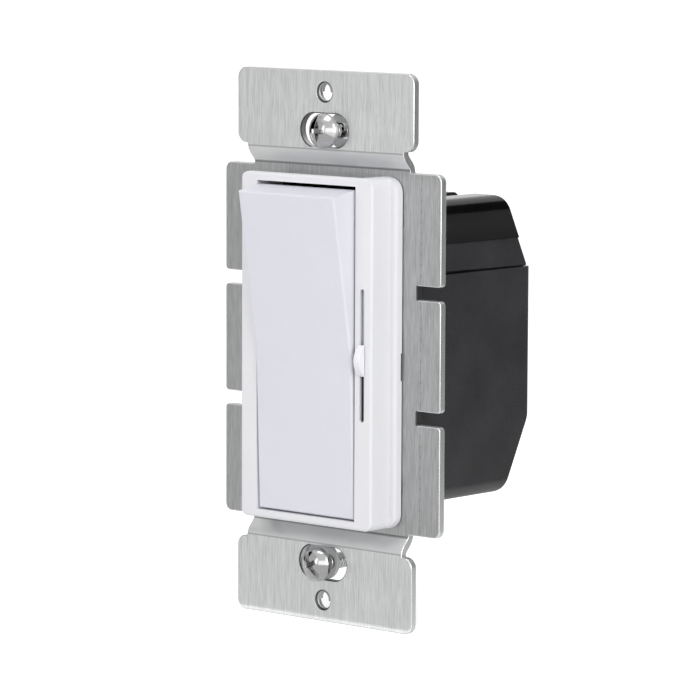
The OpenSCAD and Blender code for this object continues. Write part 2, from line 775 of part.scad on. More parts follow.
// A boxed capacitor that stands on the board, its edges rounded, with its lowest corner at x and z
module boxed_capacitor(size, x, z) {
    translate([x + size[0] / 2, board_back, z]) linear_extrude(size[2]) translate([0, size[1] / 2])
        rounded_rect(size[0], size[1], 0.6);
}
module film_capacitor() {
    color("#c8842c") boxed_capacitor(film_cap, -film_cap[0] / 2, 0);
}
module timing_capacitor() {
    color("#8a3f2a") boxed_capacitor(timing_cap, -2 * timing_cap[0], film_cap[2] + part_gap);
}
// A small component that lies on the board with a lead bent back at each end
module lead_component(r, l, x, z) {
    y = board_back + r;
    rod_x(r, x, x + l, y, z);
    rod_x(wire_r, x - wire_out, x + l + wire_out, y, z);
    for (end = [x - wire_out + wire_r, x + l + wire_out - wire_r]) rod_y(wire_r, board_back, y, end, z);
}
module trigger_diac() {
    color("#3a4c8a") lead_component(diac_r, diac_l, 0, film_cap[2] + part_gap + diac_r);
}
module resistors() {
    color("#c9a877") for (i = [0:2])
        lead_component(resistor_r, resistor_l, resistor_x, (i + 0.5) * resistor_pitch);
}

module slide_control_case() {
    color("#9fa2a6") difference() {
        block([slider_x - pot_w / 2, pot_y0, -pot_l / 2], [slider_x + pot_w / 2, pot_y1, pot_l / 2]);
        block([slider_x - pot_w / 2 + pot_wall, pot_y0 + pot_wall, -pot_l / 2 + pot_wall],
            [slider_x + pot_w / 2 - pot_wall, pot_y1 + over, pot_l / 2 - pot_wall]);
        lever_slot(0, pot_y0 + pot_wall + over);
    }
}
module resistance_track() {
    color("#7a5230") block([slider_x - pot_w / 2 + pot_wall, pot_y1 - track_t, -pot_l / 2 + pot_wall],
        [slider_x + pot_w / 2 - pot_wall, pot_y1, pot_l / 2 - pot_wall]);
}
module slide_control_terminals() {
    z = pot_l / 2 - pin_inset;
    color("#c7b26a") {
        for (s = [-1, 1]) rod_y(pin_r, pot_y1, board_y, slider_x, s * z);
        rod_y(pin_r, pot_y1, board_y, slider_x + pin_inset, -z);
    }
}

module switch_base() {
    z_in = base_h / 2 - base_wall;
    color("#4a4440") difference() {
        block([-base_w / 2, sheet_t, -base_h / 2], [base_w / 2, base_back, base_h / 2]);
        block([-base_w / 2 + base_wall, 0, -z_in], [base_w / 2 - base_wall, base_back - base_wall, z_in]);
        for (s = [-1, 1]) block([s * contact_x - 1, base_back - base_wall - over, fixed_z() - fixed_t],
            [s * contact_x + 1, base_back + over, fixed_z()]);
    }
    // Ledge that the fixed contacts sit on
    color("#4a4440") block([-base_w / 2 + base_wall - 0.1, sheet_t, -z_in - 0.1],
        [base_w / 2 - base_wall + 0.1, base_back - base_wall + 0.1, fixed_z() - fixed_t]);
    // Guides at each side of the carriage
    color("#4a4440") both_x() block([carriage_w / 2 + rest_gap, carriage_y0 + 2, tip_z],
        [base_w / 2 - base_wall + 0.1, base_back - base_wall + 0.1, z_in + 0.1]);
}
// Top face of the fixed contacts' strips, below the bridge at the end of its stroke
function fixed_z() = tip_z - carriage_h / 2 - bridge_t - button_h - tip_stroke - contact_gap - button_h;
module fixed_contacts() {
    color("#c07a4a") for (s = [-1, 1]) {
        block([s * contact_x - 1.4, 1.4, fixed_z() - fixed_t],
            [s * contact_x + 1.4, base_back - base_wall, fixed_z()]);
        block([s * contact_x - 1, base_back - base_wall - 0.01, fixed_z() - fixed_t],
            [s * contact_x + 1, base_back, fixed_z()]);
        translate([s * contact_x, bridge_y, fixed_z()]) cylinder(r = button_r, h = button_h);
    }
}
function leaf_point(s, off) = [carriage_w / 2 + 0.1 + leaf_bow * s * s + off, tip_z + leaf_half * s];
module detent_spring() {
    z_in = base_h / 2 - base_wall;
    // Arched leaf beside the carriage, with a foot against the base's upper wall
    root = leaf_point(1, 0);
    color("#c9c3a8") along_y(carriage_y0 + rest_gap, carriage_y0 + rest_gap + leaf_w)
        polygon(concat([for (i = [-8:8]) leaf_point(i / 8, 0)],
            [[root[0], z_in], [root[0] + leaf_foot, z_in], [root[0] + leaf_foot, z_in - leaf_t],
                [root[0] + leaf_t, z_in - leaf_t]],
            [for (i = [8:-1:-8]) leaf_point(i / 8, leaf_t)]));
}

// The rocker's own frame: its origin is the pivot, and both its halves lie alike
module rocker_frame() {
    translate([0, pivot_y, 0]) rotate([rest_tilt, 0, 0]) children();
}
// Points of one half's side outline: crease, end edge, end skirt's foot
function half_path(d) =
    let (t = [-sin(face_tilt), cos(face_tilt)], n = [cos(face_tilt), sin(face_tilt)],
        a = [-crease_h, 0] + n * d)
    [a - t * 3, a + t * (half_l - d), a + t * (half_l - d) + n * skirt_d];
// The paddle's outer form, drawn in by the distance d
module paddle_form(d, foot) {
    path = half_path(d);
    both_z() intersection() {
        along_x(-paddle_w / 2 + d, paddle_w / 2 - d)
            polygon(round_path([path[0], path[1], path[2], [foot, 0], [foot, -3]],
                [0, paddle_edge, 0, 0, 0]));
        translate([0, -crease_h, 0]) rotate([face_tilt, 0, 0]) translate([0, d, -3])
            linear_extrude(half_l + 6) polygon(round_path([[-paddle_w / 2 + d, 0], [paddle_w / 2 - d, 0],
                [paddle_w / 2 - d, beyond], [-paddle_w / 2 + d, beyond]], [paddle_edge, paddle_edge, 0, 0]));
        block([-beyond, -beyond, 0], [beyond, beyond, beyond]);
    }
}
module rocker_paddle() {
    boss = pin_d / 2 + 0.9;
    rib_back = -crease_h + 2.8;
    color("#e6e6ee") rocker_frame() {
        difference() {
            paddle_form(0, boss);
            // Hollow, open behind, with ribs left across it
            difference() {
                paddle_form(paddle_wall, 12);
                both_z() for (i = [1:5]) block([-beyond, -beyond, i * rib_pitch - rib_t / 2],
                    [beyond, rib_back, i * rib_pitch + rib_t / 2]);
                both_z() block([-rib_t / 2, -beyond, rib_pitch], [rib_t / 2, rib_back, half_l]);
            }
        }
        rod_x(pin_d / 2, paddle_w / 2 - 0.5, well_w / 2 + pin_bite, 0, 0);
        rod_x(pin_d / 2, -well_w / 2 - pin_bite, -paddle_w / 2 + 0.5, 0, 0);
        for (s = [-1, 1]) rod_x(boss, s * (paddle_w / 2 - 1.2) - 1.2, s * (paddle_w / 2 - 1.2) + 1.2, 0, 0);
    }
}
module rocker_actuator() {
    y0 = -crease_h + paddle_wall;
    shank_r = finger_r - finger_waist;
    color("#33333a") rocker_frame() {
        block([-pad_l / 2, y0, -pad_l / 2], [pad_l / 2, y0 + pad_t, pad_l / 2]);
        block([-finger_w / 2, y0, -shank_r], [finger_w / 2, finger_l, shank_r]);
        rod_x(finger_r, -finger_w / 2, finger_w / 2, finger_l, 0);
        // Gussets that stiffen the finger
        for (s = [-1, 1]) along_x(s * gusset_x - gusset_t / 2, s * gusset_x + gusset_t / 2)
            polygon([[y0 + pad_t - snug, -gusset_h], [y0 + pad_t - snug, gusset_h], [finger_l / 4, 0]]);
    }
}
module contact_carriage() {
    color("#e8e4d8") difference() {
        block([-carriage_w / 2, carriage_y0, tip_z - carriage_h / 2],
            [carriage_w / 2, carriage_y0 + carriage_d, tip_z + carriage_h / 2]);
        // Slot that the finger's tip drives
        block([-carriage_w, -over, tip_z - finger_r - finger_clear],
            [carriage_w, pivot_y + finger_l + finger_r + 0.6, tip_z + finger_r + finger_clear]);
    }
}
module bridge_contact() {
    z1 = tip_z - carriage_h / 2;
    color("#c98a5a") {
        block([-bridge_w / 2, bridge_y - bridge_d / 2, z1 - bridge_t],
            [bridge_w / 2, bridge_y + bridge_d / 2, z1]);
        for (s = [-1, 1]) translate([s * contact_x, bridge_y, z1 - bridge_t - button_h])
            cylinder(r = button_r, h = button_h);
    }
}

module slider_frame() {
    translate([slider_x, 0, knob_z]) children();
}
module slider_knob() {
    base = bezel_front - knob_lift;
    dome_r = (knob_l * knob_l / 4 + knob_h * knob_h) / (2 * knob_h);
    color("#f0f0f4") slider_frame() {
        intersection() {
            rod_x(dome_r, -knob_w / 2, knob_w / 2, base - knob_h + dome_r, 0);
            block([-knob_w, base - knob_h - over, -knob_l], [knob_w, base, knob_l]);
        }
        block([-stem_w / 2, base - 0.2, -stem_l / 2], [stem_w / 2, shield_back, stem_l / 2]);
        difference() {
            block([-shield_w / 2, shield_back, -foot_l / 2],
                [shield_w / 2, shield_back + foot_d, foot_l / 2]);
            block([-lever_t / 2 - snug, shield_back + 0.6, -lever_w / 2 - snug],
                [lever_t / 2 + snug, shield_back + foot_d + over, lever_w / 2 + snug]);
        }
    }
}
module slider_shield() {
    color("#f4f4f6") slider_frame() difference() {
        block([-shield_w / 2, shield_front, -shield_l / 2], [shield_w / 2, shield_back, shield_l / 2]);
        block([-stem_w / 2, shield_front - over, -stem_l / 2], [stem_w / 2, shield_back + over, stem_l / 2]);
    }
}
module wiper_carriage() {
    color("#c8ccd0") slider_frame() block([-lever_t / 2, shield_back + 0.6, -lever_w / 2],
        [lever_t / 2, pot_y0 + pot_wall + 1, lever_w / 2]);
    half_w = pot_w / 2 - pot_wall - rest_gap;
    color("#2e2e32") slider_frame()
        block([-half_w, pot_y0 + pot_wall + 0.4, -wiper_l / 2 - 0.4],
            [half_w, pot_y1 - track_t - 1.2, wiper_l / 2 + 0.4]);
}
module wiper_contact() {
    y0 = pot_y1 - track_t - 1.2;
    color("#d0b060") slider_frame() {
        block([-wiper_w / 2, y0, -wiper_l / 2], [wiper_w / 2, y0 + wiper_t, wiper_l / 2]);
        // Two fingers that press on the track
        for (x = [-1, 1] * wiper_w / 3) block([x - 0.4, y0, -wiper_l / 2],
            [x + 0.4, pot_y1 - track_t - 0.1, 0.8 - wiper_l / 2]);
    }
}

function neck_radius() = screw_d / 2 - neck_cut;
// Forked washer that is pushed onto a screw's neck from the side, open to the right
module washer() {
    hole_r = neck_radius() + washer_clear;
    color("#7a7b7d") difference() {
        along_y(ear_back, ear_back + washer_t) translate([washer_l / 2 - washer_end, 0])
            stadium(washer_l, washer_h);
        rod_y(hole_r, ear_back - over, ear_back + washer_t + over, 0, 0);
        block([0, ear_back - over, -hole_r], [washer_l, ear_back + washer_t + over, hole_r]);
    }
}
module top_washer() {
    translate([top_screw_x, 0, box_pitch / 2]) washer();
}
module bottom_washer() {
    translate([bottom_screw_x, 0, -box_pitch / 2]) mirror([1, 0, 0]) washer();
}
// Domed head with a slot across it and a cross recess, on a plain shank with a tapered end
module mounting_screw(x, z, stand) {
    under = ear_front - stand;
    top = under - head_h;
    rim = 0.7;
    cap_h = head_h - rim;
    taper = 0.8;
    // Length of neck left bare behind the washer
    neck_end = 0.1;
    // Width and depth of the slot, then of the cross recess, and the recess's length at its top and floor
    cut_w = 1;
    cut_d = 1.2;
    cross_w = 0.9;
    cross_d = 1.9;
    cross_l = 4;
    cross_floor = 1;
    dome_r = (head_d * head_d / 4 + cap_h * cap_h) / (2 * cap_h);
    color("#c4c4c8") translate([x, 0, z]) difference() {
        union() {
            rod_y(neck_radius(), under, under + screw_l - taper, 0, 0);
            rod_y(screw_d / 2, ear_back + washer_t + neck_end, under + screw_l - taper, 0, 0);
            cone_y(screw_d / 2, screw_d / 2 - taper, under + screw_l - taper, under + screw_l, 0, 0);
            rod_y(head_d / 2, under - rim, under, 0, 0);
            intersection() {
                translate([0, top + dome_r, 0]) sphere(dome_r, $fn = 64);
                rod_y(head_d / 2, top - over, under - rim, 0, 0);
            }
        }
        block([-head_d, top - over, -cut_w / 2], [head_d, top + cut_d, cut_w / 2]);
        for (a = [0, 90]) rotate([0, a, 0]) along_x(-cross_w / 2, cross_w / 2)
            polygon([[top - over, -cross_l / 2], [top - over, cross_l / 2],
                [top + cross_d, cross_floor / 2], [top + cross_d, -cross_floor / 2]]);
    }
}
module top_mounting_screw() {
    mounting_screw(top_screw_x, box_pitch / 2, top_stand);
}
module bottom_mounting_screw() {
    mounting_screw(bottom_screw_x, -box_pitch / 2, bottom_stand);
}

mounting_strap();
bezel();
rear_housing();
lead_cover();
housing_screws();
insulating_sheet();
circuit_board();
power_triac();
triac_tab();
triac_insulator();
triac_rivet();
choke_bobbin();
choke_core();
choke_winding();
film_capacitor();
timing_capacitor();
trigger_diac();
resistors();
slide_control_case();
resistance_track();
slide_control_terminals();
switch_base();
fixed_contacts();
detent_spring();
rocker_paddle();
rocker_actuator();
contact_carriage();
bridge_contact();
slider_knob();
slider_shield();
wiper_carriage();
wiper_contact();
top_washer();
bottom_washer();
top_mounting_screw();
bottom_mounting_screw();
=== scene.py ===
# %% [markdown]
# # A rocker and slide dimmer, dressed for its picture
#
# The CAD model gives every piece its real size and place. This script gives the pieces
# their finish: softened edges, cut threads, brushed metal, moulded plastic and studio light.
# The imported model comes first, because each later piece is measured from it, and its box is
# kept, which later sets the floor's height.

# %% Load the imported model
import json
import math

import bmesh
import bpy
from mathutils import Matrix, Vector


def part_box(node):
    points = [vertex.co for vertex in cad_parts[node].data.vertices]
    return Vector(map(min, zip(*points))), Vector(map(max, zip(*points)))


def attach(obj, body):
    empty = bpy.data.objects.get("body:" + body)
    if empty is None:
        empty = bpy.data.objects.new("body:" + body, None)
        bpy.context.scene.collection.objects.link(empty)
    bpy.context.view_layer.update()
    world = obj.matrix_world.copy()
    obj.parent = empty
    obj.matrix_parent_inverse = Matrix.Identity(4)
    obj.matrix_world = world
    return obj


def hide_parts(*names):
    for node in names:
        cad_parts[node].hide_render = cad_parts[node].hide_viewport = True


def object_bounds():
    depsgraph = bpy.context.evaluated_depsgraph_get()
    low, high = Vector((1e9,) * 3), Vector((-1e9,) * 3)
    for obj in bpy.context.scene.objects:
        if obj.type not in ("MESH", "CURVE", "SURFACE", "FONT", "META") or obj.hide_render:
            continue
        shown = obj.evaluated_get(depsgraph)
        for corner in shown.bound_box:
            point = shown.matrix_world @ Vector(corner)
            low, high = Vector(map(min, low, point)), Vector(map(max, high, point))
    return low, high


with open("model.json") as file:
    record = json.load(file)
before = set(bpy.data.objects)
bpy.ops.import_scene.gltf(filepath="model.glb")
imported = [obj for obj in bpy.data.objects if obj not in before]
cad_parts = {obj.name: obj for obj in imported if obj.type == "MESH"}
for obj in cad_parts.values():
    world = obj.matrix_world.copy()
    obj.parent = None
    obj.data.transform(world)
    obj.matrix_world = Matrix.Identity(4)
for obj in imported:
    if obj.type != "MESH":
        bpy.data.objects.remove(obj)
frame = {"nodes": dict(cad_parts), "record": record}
cad_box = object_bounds()
MM = 0.001
print("CAD box in millimetres:", [round(c / MM, 2) for corner in cad_box for c in corner])

# %% [markdown]
# ## The camera
#
# The photograph was taken from the right and a little above, with a long lens, so the
# uprights stay almost parallel. A camera can be tried by eye, or worked out from points
# whose real places are known, as it was here. Its direction is built from the azimuth,
# the elevation and a slight roll, because those are the numbers a photographer would say.

# %% Set the camera
AZIMUTH = math.radians(41.441)
ELEVATION = math.radians(6.499)
ROLL = math.radians(0.238)
CAMERA_AT = Vector((526.79, -592.62, 89.64)) * MM
LENS = 216.03


def camera_axes():
    across = Vector((math.cos(AZIMUTH), math.sin(AZIMUTH), 0))
    ahead = Vector((-math.sin(AZIMUTH) * math.cos(ELEVATION),
                    math.cos(AZIMUTH) * math.cos(ELEVATION), -math.sin(ELEVATION)))
    above = across.cross(ahead)
    right = across * math.cos(ROLL) + above * math.sin(ROLL)
    up = above * math.cos(ROLL) - across * math.sin(ROLL)
    return right, up, ahead


right, up, ahead = camera_axes()
camera_data = bpy.data.cameras.new("studio_camera")
camera_data.lens = LENS
camera_data.sensor_width = 36
camera_data.clip_start = 0.01
camera_data.clip_end = 20
camera = bpy.data.objects.new("studio_camera", camera_data)
camera.matrix_world = (Matrix.Translation(CAMERA_AT)
                       @ Matrix((right, up, -ahead)).transposed().to_4x4())
bpy.context.scene.collection.objects.link(camera)
bpy.context.scene.camera = camera
print("camera stands", round(CAMERA_AT.length, 3), "m from the origin")

# %% [markdown]
# ## Helpers for every material
#
# Blender's shaders count in linear light, and colours are picked in sRGB, so one function
# turns a hex value into linear numbers. Another adds a node and sets its inputs from one
# list: a value is typed in and another node's output is linked, so a material reads from top
# to bottom like a recipe. A pattern is sized in turns per metre, and `per_mm` turns a real
# size into that. The nodes that come up again and again have short names.

# %% Colour and node helpers
MATH, MIX, RANGE = "ShaderNodeMath", "ShaderNodeMix", "ShaderNodeMapRange"
NOISE, BUMP = "ShaderNodeTexNoise", "ShaderNodeBump"
STRETCH, SPLIT = "ShaderNodeMapping", "ShaderNodeSeparateXYZ"


def linear(code):
    parts = [int(code[i:i + 2], 16) / 255 for i in (1, 3, 5)]
    return [c / 12.92 if c <= 0.04045 else ((c + 0.055) / 1.055) ** 2.4 for c in parts] + [1]


def add(tree, kind, values=None):
    node = tree.nodes.new(kind)
    for key, value in (values or {}).items():
        if isinstance(value, bpy.types.NodeSocket):
            tree.links.new(value, node.inputs[key])
        elif isinstance(key, str) and hasattr(node, key):
            setattr(node, key, value)
        else:
            node.inputs[key].default_value = value
    return node


def per_mm(size):
    return 1 / (size * MM)


def new_tree(name):
    material = bpy.data.materials.new(name)
    material.use_nodes = True
    material.node_tree.nodes.clear()
    place = add(material.node_tree, "ShaderNodeTexCoord").outputs["Object"]
    return material, material.node_tree, place


def finish(tree, colour, roughness, normal, values=None):
    shader = add(tree, "ShaderNodeBsdfPrincipled", {
        "Base Color": colour, "Roughness": roughness, "Normal": normal, **(values or {})})
    add(tree, "ShaderNodeOutputMaterial", {"Surface": shader.outputs[0]})


print("mid grey #808080 in linear light:", round(linear("#808080")[0], 3))

# %% [markdown]
# ## Moulded plastics
#
# The frame, paddle and knob are injection-moulded ABS, and the housing is a black
# thermoplastic. Moulded plastic takes the skin of its steel mould: a faint grain a few
# tenths of a millimetre across that breaks up the reflections, and very slight changes of
# tone where the melt flowed. A photographed skin would need each piece unwrapped, while a
# noise in object space needs nothing and shows no seams. One recipe serves them all, and the
# small parts inside too, with the grain's size and height in real millimetres.

# %% Moulded plastic
# Millimetres from one slow change of tone to the next
MELT_FLOW = 9
ABS_IOR = 1.54
BLACK_IOR = 1.46


def moulded(name, colour, shade, rough, grain, height, ior=ABS_IOR):
    material, tree, place = new_tree(name)
    flow = add(tree, NOISE, {"Scale": per_mm(MELT_FLOW), "Detail": 2.0, "Vector": place})
    skin = add(tree, NOISE, {"Scale": per_mm(grain), "Detail": 3.0, "Vector": place})
    mottle = add(tree, MATH, {"operation": "ADD", 0: flow.outputs[0], 1: skin.outputs[0]})
    blend = add(tree, RANGE, {0: mottle.outputs[0], 1: 0.7, 2: 1.3})
    tone = add(tree, MIX, {"data_type": "RGBA", 0: blend.outputs[0],
                           6: linear(colour), 7: linear(shade)})
    gloss = add(tree, RANGE, {0: skin.outputs[0], 3: rough - 0.04, 4: rough + 0.04})
    bump = add(tree, BUMP, {"Strength": 0.6, "Distance": height * MM, "Height": skin.outputs[0]})
    finish(tree, tone.outputs[2], gloss.outputs[0], bump.outputs[0], {"IOR": ior})
    return material


# The frame is a little lighter than the paddle, which is a separate moulding
FRAME_WHITE = moulded("moulded_abs_frame", "#ededf0", "#eaeaee", 0.34, 0.35, 0.004)
# Painted shade: the opening's right and top walls, turned away from the light beside the paddle,
# are coloured grey
WELL_PAINTED_SHADE = moulded("moulded_abs_well_painted_shade", "#6e6e74", "#78787e", 0.45, 0.35, 0.004)
# The paddle's skin is a little cooler and duller than the frame's
PADDLE_WHITE = moulded("moulded_abs_paddle", "#e6e6ef", "#e3e3ec", 0.40, 0.35, 0.004)
# The knob is small and polished, so it is the brightest of the three
KNOB_WHITE = moulded("moulded_abs_knob", "#f6f6fa", "#f2f2f6", 0.30, 0.30, 0.003)
# Flame-retardant thermoplastic: nearly black, with a soft and slightly mottled sheen
HOUSING_BLACK = moulded("moulded_housing_black", "#252527", "#343437", 0.46, 0.40, 0.030,
                        BLACK_IOR)
# The cover comes from a polished mould, so it is darker and glossier
COVER_BLACK = moulded("moulded_cover_black", "#0a0a0b", "#111112", 0.17, 0.40, 0.006, BLACK_IOR)
print("moulded plastics:", [m.name for m in bpy.data.materials if m.name.startswith("moulded")])

# %% [markdown]
# ## Brushed aluminium
#
# The strap is punched from aluminium sheet whose faces were brushed with an abrasive belt.
# The belt leaves long upright scratches, so a highlight spreads sideways, across them. That
# is an anisotropic reflection whose tangent runs along X. The scratches are a noise that is
# fine across and long upright, and they vary tone, gloss and height together. The plate is
# also scored along each side, so that its outer fins can be snapped off. The score is a
# shallow line with a pressed dot every two millimetres, drawn as painted shade by its distance
# from the middle.
# Behind the frame's opening the strap's front is painted black, as painted shade, so the gap
# round the paddle looks empty.

# %% Brushed aluminium
# Sizes in millimetres across, through and along the strap. A belt's real lines are about
# 0.1 mm wide, too fine to show here, so they are drawn twice as coarse.
SCRATCH = (0.2, 5, 4)
BELT_BAND = (1.1, 9, 40)
BAND_SHARE = 0.16
TONES_FROM, TONES_TO = 0.40, 0.80
# Painted shade for the filled score's groove and its pressed dots
SCORE_PAINTED_SHADE = "#4c4d4e"
SCORE_X = 22.45 * MM
SCORE_HALF = 0.2 * MM
SCORE_TONE, DOT_TONE = 0.12, 0.14
DOT_PITCH = 2.0 * MM
DOT_HALF = 0.28 * MM
# Painted shade on the strap's front behind the frame's opening
STRAP_PAINTED_SHADE_BLACK = "#060606"
PAINTED_SHADE_X = 15.4 * MM
PAINTED_SHADE_Z = 32.5 * MM
PAINTED_SHADE_FRONT = -1.0 * MM


def brushed_aluminium(name, dark, light, score):
    """A score of 1 shows the snap-off line, and a score of 0 leaves it out."""
    material, tree, place = new_tree(name)
    fine = add(tree, STRETCH, {"Scale": [per_mm(size) for size in SCRATCH], "Vector": place})
    scratch = add(tree, NOISE, {"Scale": 1.0, "Detail": 4.0, "Roughness": 0.65,
                                "Vector": fine.outputs[0]})
    wide = add(tree, STRETCH, {"Scale": [per_mm(size) for size in BELT_BAND], "Vector": place})
    band = add(tree, NOISE, {"Scale": 1.0, "Detail": 2.0, "Vector": wide.outputs[0]})
    both = add(tree, MATH, {"operation": "MULTIPLY_ADD", 0: band.outputs[0], 1: BAND_SHARE,
                            2: scratch.outputs[0]})
    tone = add(tree, "ShaderNodeValToRGB", {"Fac": both.outputs[0]})
    first, last = tone.color_ramp.elements
    first.position, first.color = TONES_FROM, linear(dark)
    last.position, last.color = TONES_TO, linear(light)

    at = add(tree, SPLIT, {0: place})
    side = add(tree, MATH, {"operation": "ABSOLUTE", 0: at.outputs["X"]})
    line = add(tree, MATH, {"operation": "COMPARE", 0: side.outputs[0], 1: SCORE_X,
                            2: SCORE_HALF})
    beat = add(tree, MATH, {"operation": "PINGPONG", 0: at.outputs["Z"], 1: DOT_PITCH / 2})
    dot = add(tree, MATH, {"operation": "GREATER_THAN", 0: beat.outputs[0],
                           1: DOT_PITCH / 2 - DOT_HALF})
    depth = add(tree, MATH, {"operation": "MULTIPLY_ADD", 0: dot.outputs[0],
                             1: DOT_TONE * score, 2: SCORE_TONE * score})
    # Painted shade along the score line
    score_shade = add(tree, MATH, {"operation": "MULTIPLY", 0: line.outputs[0], 1: depth.outputs[0]})
    scored = add(tree, MIX, {"data_type": "RGBA", 0: score_shade.outputs[0], 6: tone.outputs[0],
                             7: linear(SCORE_PAINTED_SHADE)})

    # Painted shade: the strap's front behind the frame's opening is coloured black
    height = add(tree, MATH, {"operation": "ABSOLUTE", 0: at.outputs["Z"]})
    limits = ((side.outputs[0], PAINTED_SHADE_X), (height.outputs[0], PAINTED_SHADE_Z),
              (at.outputs["Y"], PAINTED_SHADE_FRONT))
    within = [add(tree, MATH, {"operation": "LESS_THAN", 0: value, 1: limit}).outputs[0]
              for value, limit in limits]
    behind = add(tree, MATH, {"operation": "MULTIPLY", 0: within[0], 1: within[1]})
    behind = add(tree, MATH, {"operation": "MULTIPLY", 0: behind.outputs[0], 1: within[2]})
    painted_shade_tone = add(tree, MIX, {"data_type": "RGBA", 0: behind.outputs[0], 6: scored.outputs[2],
                             7: linear(STRAP_PAINTED_SHADE_BLACK)})

    gloss = add(tree, RANGE, {0: both.outputs[0], 1: 0.3, 2: 1.0, 3: 0.34, 4: 0.48})
    bump = add(tree, BUMP, {"Strength": 0.5, "Distance": 0.012 * MM,
                            "Height": scratch.outputs[0]})
    across = add(tree, "ShaderNodeCombineXYZ", {"X": 1.0})
    finish(tree, painted_shade_tone.outputs[2], gloss.outputs[0], bump.outputs[0],
           {"Metallic": 1.0, "Anisotropic": 0.75, "Tangent": across.outputs[0]})
    return material


BRUSHED_EAR = brushed_aluminium("brushed_aluminium_ear", "#d0d1d1", "#f0f1f1", 0)
# The plate is brushed in the same pass; its greyer colour is painted shade, for the light that
# the frame keeps from it
BRUSHED_PLATE_PAINTED_SHADE = brushed_aluminium("brushed_aluminium_plate_painted_shade", "#a2a3a3", "#c6c7c7", 1)
print("score:", SCORE_X / MM, "mm from the middle, with a dot every", DOT_PITCH / MM, "mm")

# %% [markdown]
# ## The pressed necks
#
# Between the plate and each ear the sheet is folded forward. The press wipes the brushing
# flat there, so the metal is smoother and shows no scratches. The shade in each fold's crease
# is painted as a dark line. A crease could be cut into the mesh, but it is only a tenth of a
# millimetre deep, so its painted shade is drawn at its real height as a line that fades on both
# sides.

# %% Pressed aluminium
# The middle's height and the half width in millimetres, and how dark the crease's painted shade
# is
CREASE_SHADES = [(34.35, 0.5, 0.75), (37.6, 0.25, 0.4)]
# The share of the half width that keeps the full darkness
CREASE_HEART = 0.4


def pressed_neck(name, colour, shade, crease_shade):
    material, tree, place = new_tree(name)
    cloud = add(tree, NOISE, {"Scale": per_mm(2.5), "Detail": 3.0, "Vector": place})
    tone = add(tree, MIX, {"data_type": "RGBA", 0: cloud.outputs[0],
                           6: linear(colour), 7: linear(shade)}).outputs[2]
    at = add(tree, SPLIT, {0: place})
    height = add(tree, MATH, {"operation": "ABSOLUTE", 0: at.outputs["Z"]})
    # Each crease's painted shade: a dark line that fades on both sides
    for middle, half, depth in CREASE_SHADES:
        away = add(tree, MATH, {"operation": "SUBTRACT", 0: height.outputs[0], 1: middle * MM})
        near = add(tree, MATH, {"operation": "ABSOLUTE", 0: away.outputs[0]})
        line = add(tree, RANGE, {0: near.outputs[0], 1: half * MM * CREASE_HEART, 2: half * MM,
                                 3: depth, 4: 0.0})
        tone = add(tree, MIX, {"data_type": "RGBA", 0: line.outputs[0], 6: tone,
                               7: linear(crease_shade)}).outputs[2]
    gloss = add(tree, RANGE, {0: cloud.outputs[0], 3: 0.44, 4: 0.56})
    bump = add(tree, BUMP, {"Strength": 0.5, "Distance": 0.01 * MM, "Height": cloud.outputs[0]})
    finish(tree, tone, gloss.outputs[0], bump.outputs[0], {"Metallic": 1.0})
    return material


# Painted shade: a dark line at each fold's crease
FOLDED = pressed_neck("pressed_aluminium_neck", "#dcdddd", "#e6e7e7", "#5a5b5c")
print("creases at", [middle for middle, _, _ in CREASE_SHADES], "mm from the middle")

# %% [markdown]
# ## Plain metals
#
# The other metals are sheared, pressed, plated or drawn. They share one recipe: a cloudy
# noise that shifts the colour and the gloss a little and raises a shallow grain. A sheared
# edge gets a dark colour, a high roughness and a fine torn grain, while nickel plate gets a
# low roughness and almost no height.

# %% Plain metals
def plain_metal(name, colour, shade, rough, grain, height):
    material, tree, place = new_tree(name)
    cloud = add(tree, NOISE, {"Scale": per_mm(grain), "Detail": 3.0, "Vector": place})
    tone = add(tree, MIX, {"data_type": "RGBA", 0: cloud.outputs[0],
                           6: linear(colour), 7: linear(shade)})
    gloss = add(tree, RANGE, {0: cloud.outputs[0], 3: rough * 0.85, 4: rough * 1.15})
    bump = add(tree, BUMP, {"Strength": 0.5, "Distance": height * MM, "Height": cloud.outputs[0]})
    finish(tree, tone.outputs[2], gloss.outputs[0], bump.outputs[0], {"Metallic": 1.0})
    return material


# Sheared by the punch: duller, with a torn grain
SHEARED = plain_metal("sheared_aluminium_edge", "#bcbdbd", "#cecfcf", 0.55, 0.3, 0.02)
# Painted shade on the edges where the slots end at the score and round the tapped holes: rough
# and dark
PAINTED_SHADE_EDGE_METAL = plain_metal("aluminium_edge_painted_shade", "#4c4c4d", "#626263", 0.60, 0.3, 0.03)
# The rim on the punch side, rolled over and burnished bright
BURNISHED = plain_metal("burnished_aluminium_rim", "#dfdfe0", "#e8e8e9", 0.22, 0.5, 0.002)
# Nickel plate over steel: bright, only a little soft
NICKEL = plain_metal("nickel_plated_steel", "#b2b2b2", "#c0c0c0", 0.13, 0.8, 0.003)
# Zinc plate: bluish, with the dull bloom of the bath
ZINC = plain_metal("zinc_plated_steel", "#c6cbd0", "#d0d4d6", 0.28, 0.6, 0.005)
# Hot-dipped tin runs a little, so it is cloudy and warm
TINNED = plain_metal("tinned_copper", "#c9c6bd", "#d6d3ca", 0.30, 0.4, 0.004)
# Copper alloy strip, as the press leaves it
COPPER = plain_metal("stamped_copper_alloy", "#c98a5a", "#d59a6b", 0.30, 0.6, 0.004)
# Enamel over drawn copper: redder and glossier than the bare strip
WIRE = plain_metal("enamelled_copper_wire", "#a8582a", "#c07038", 0.22, 1.5, 0.003)
# Rolled steel, with a faint warm temper colour
SPRING = plain_metal("rolled_spring_steel", "#b5b3ac", "#c3c1ba", 0.30, 0.5, 0.004)
print("plain metals:", [m.name for m in (SHEARED, BURNISHED, NICKEL, ZINC, TINNED, COPPER)])

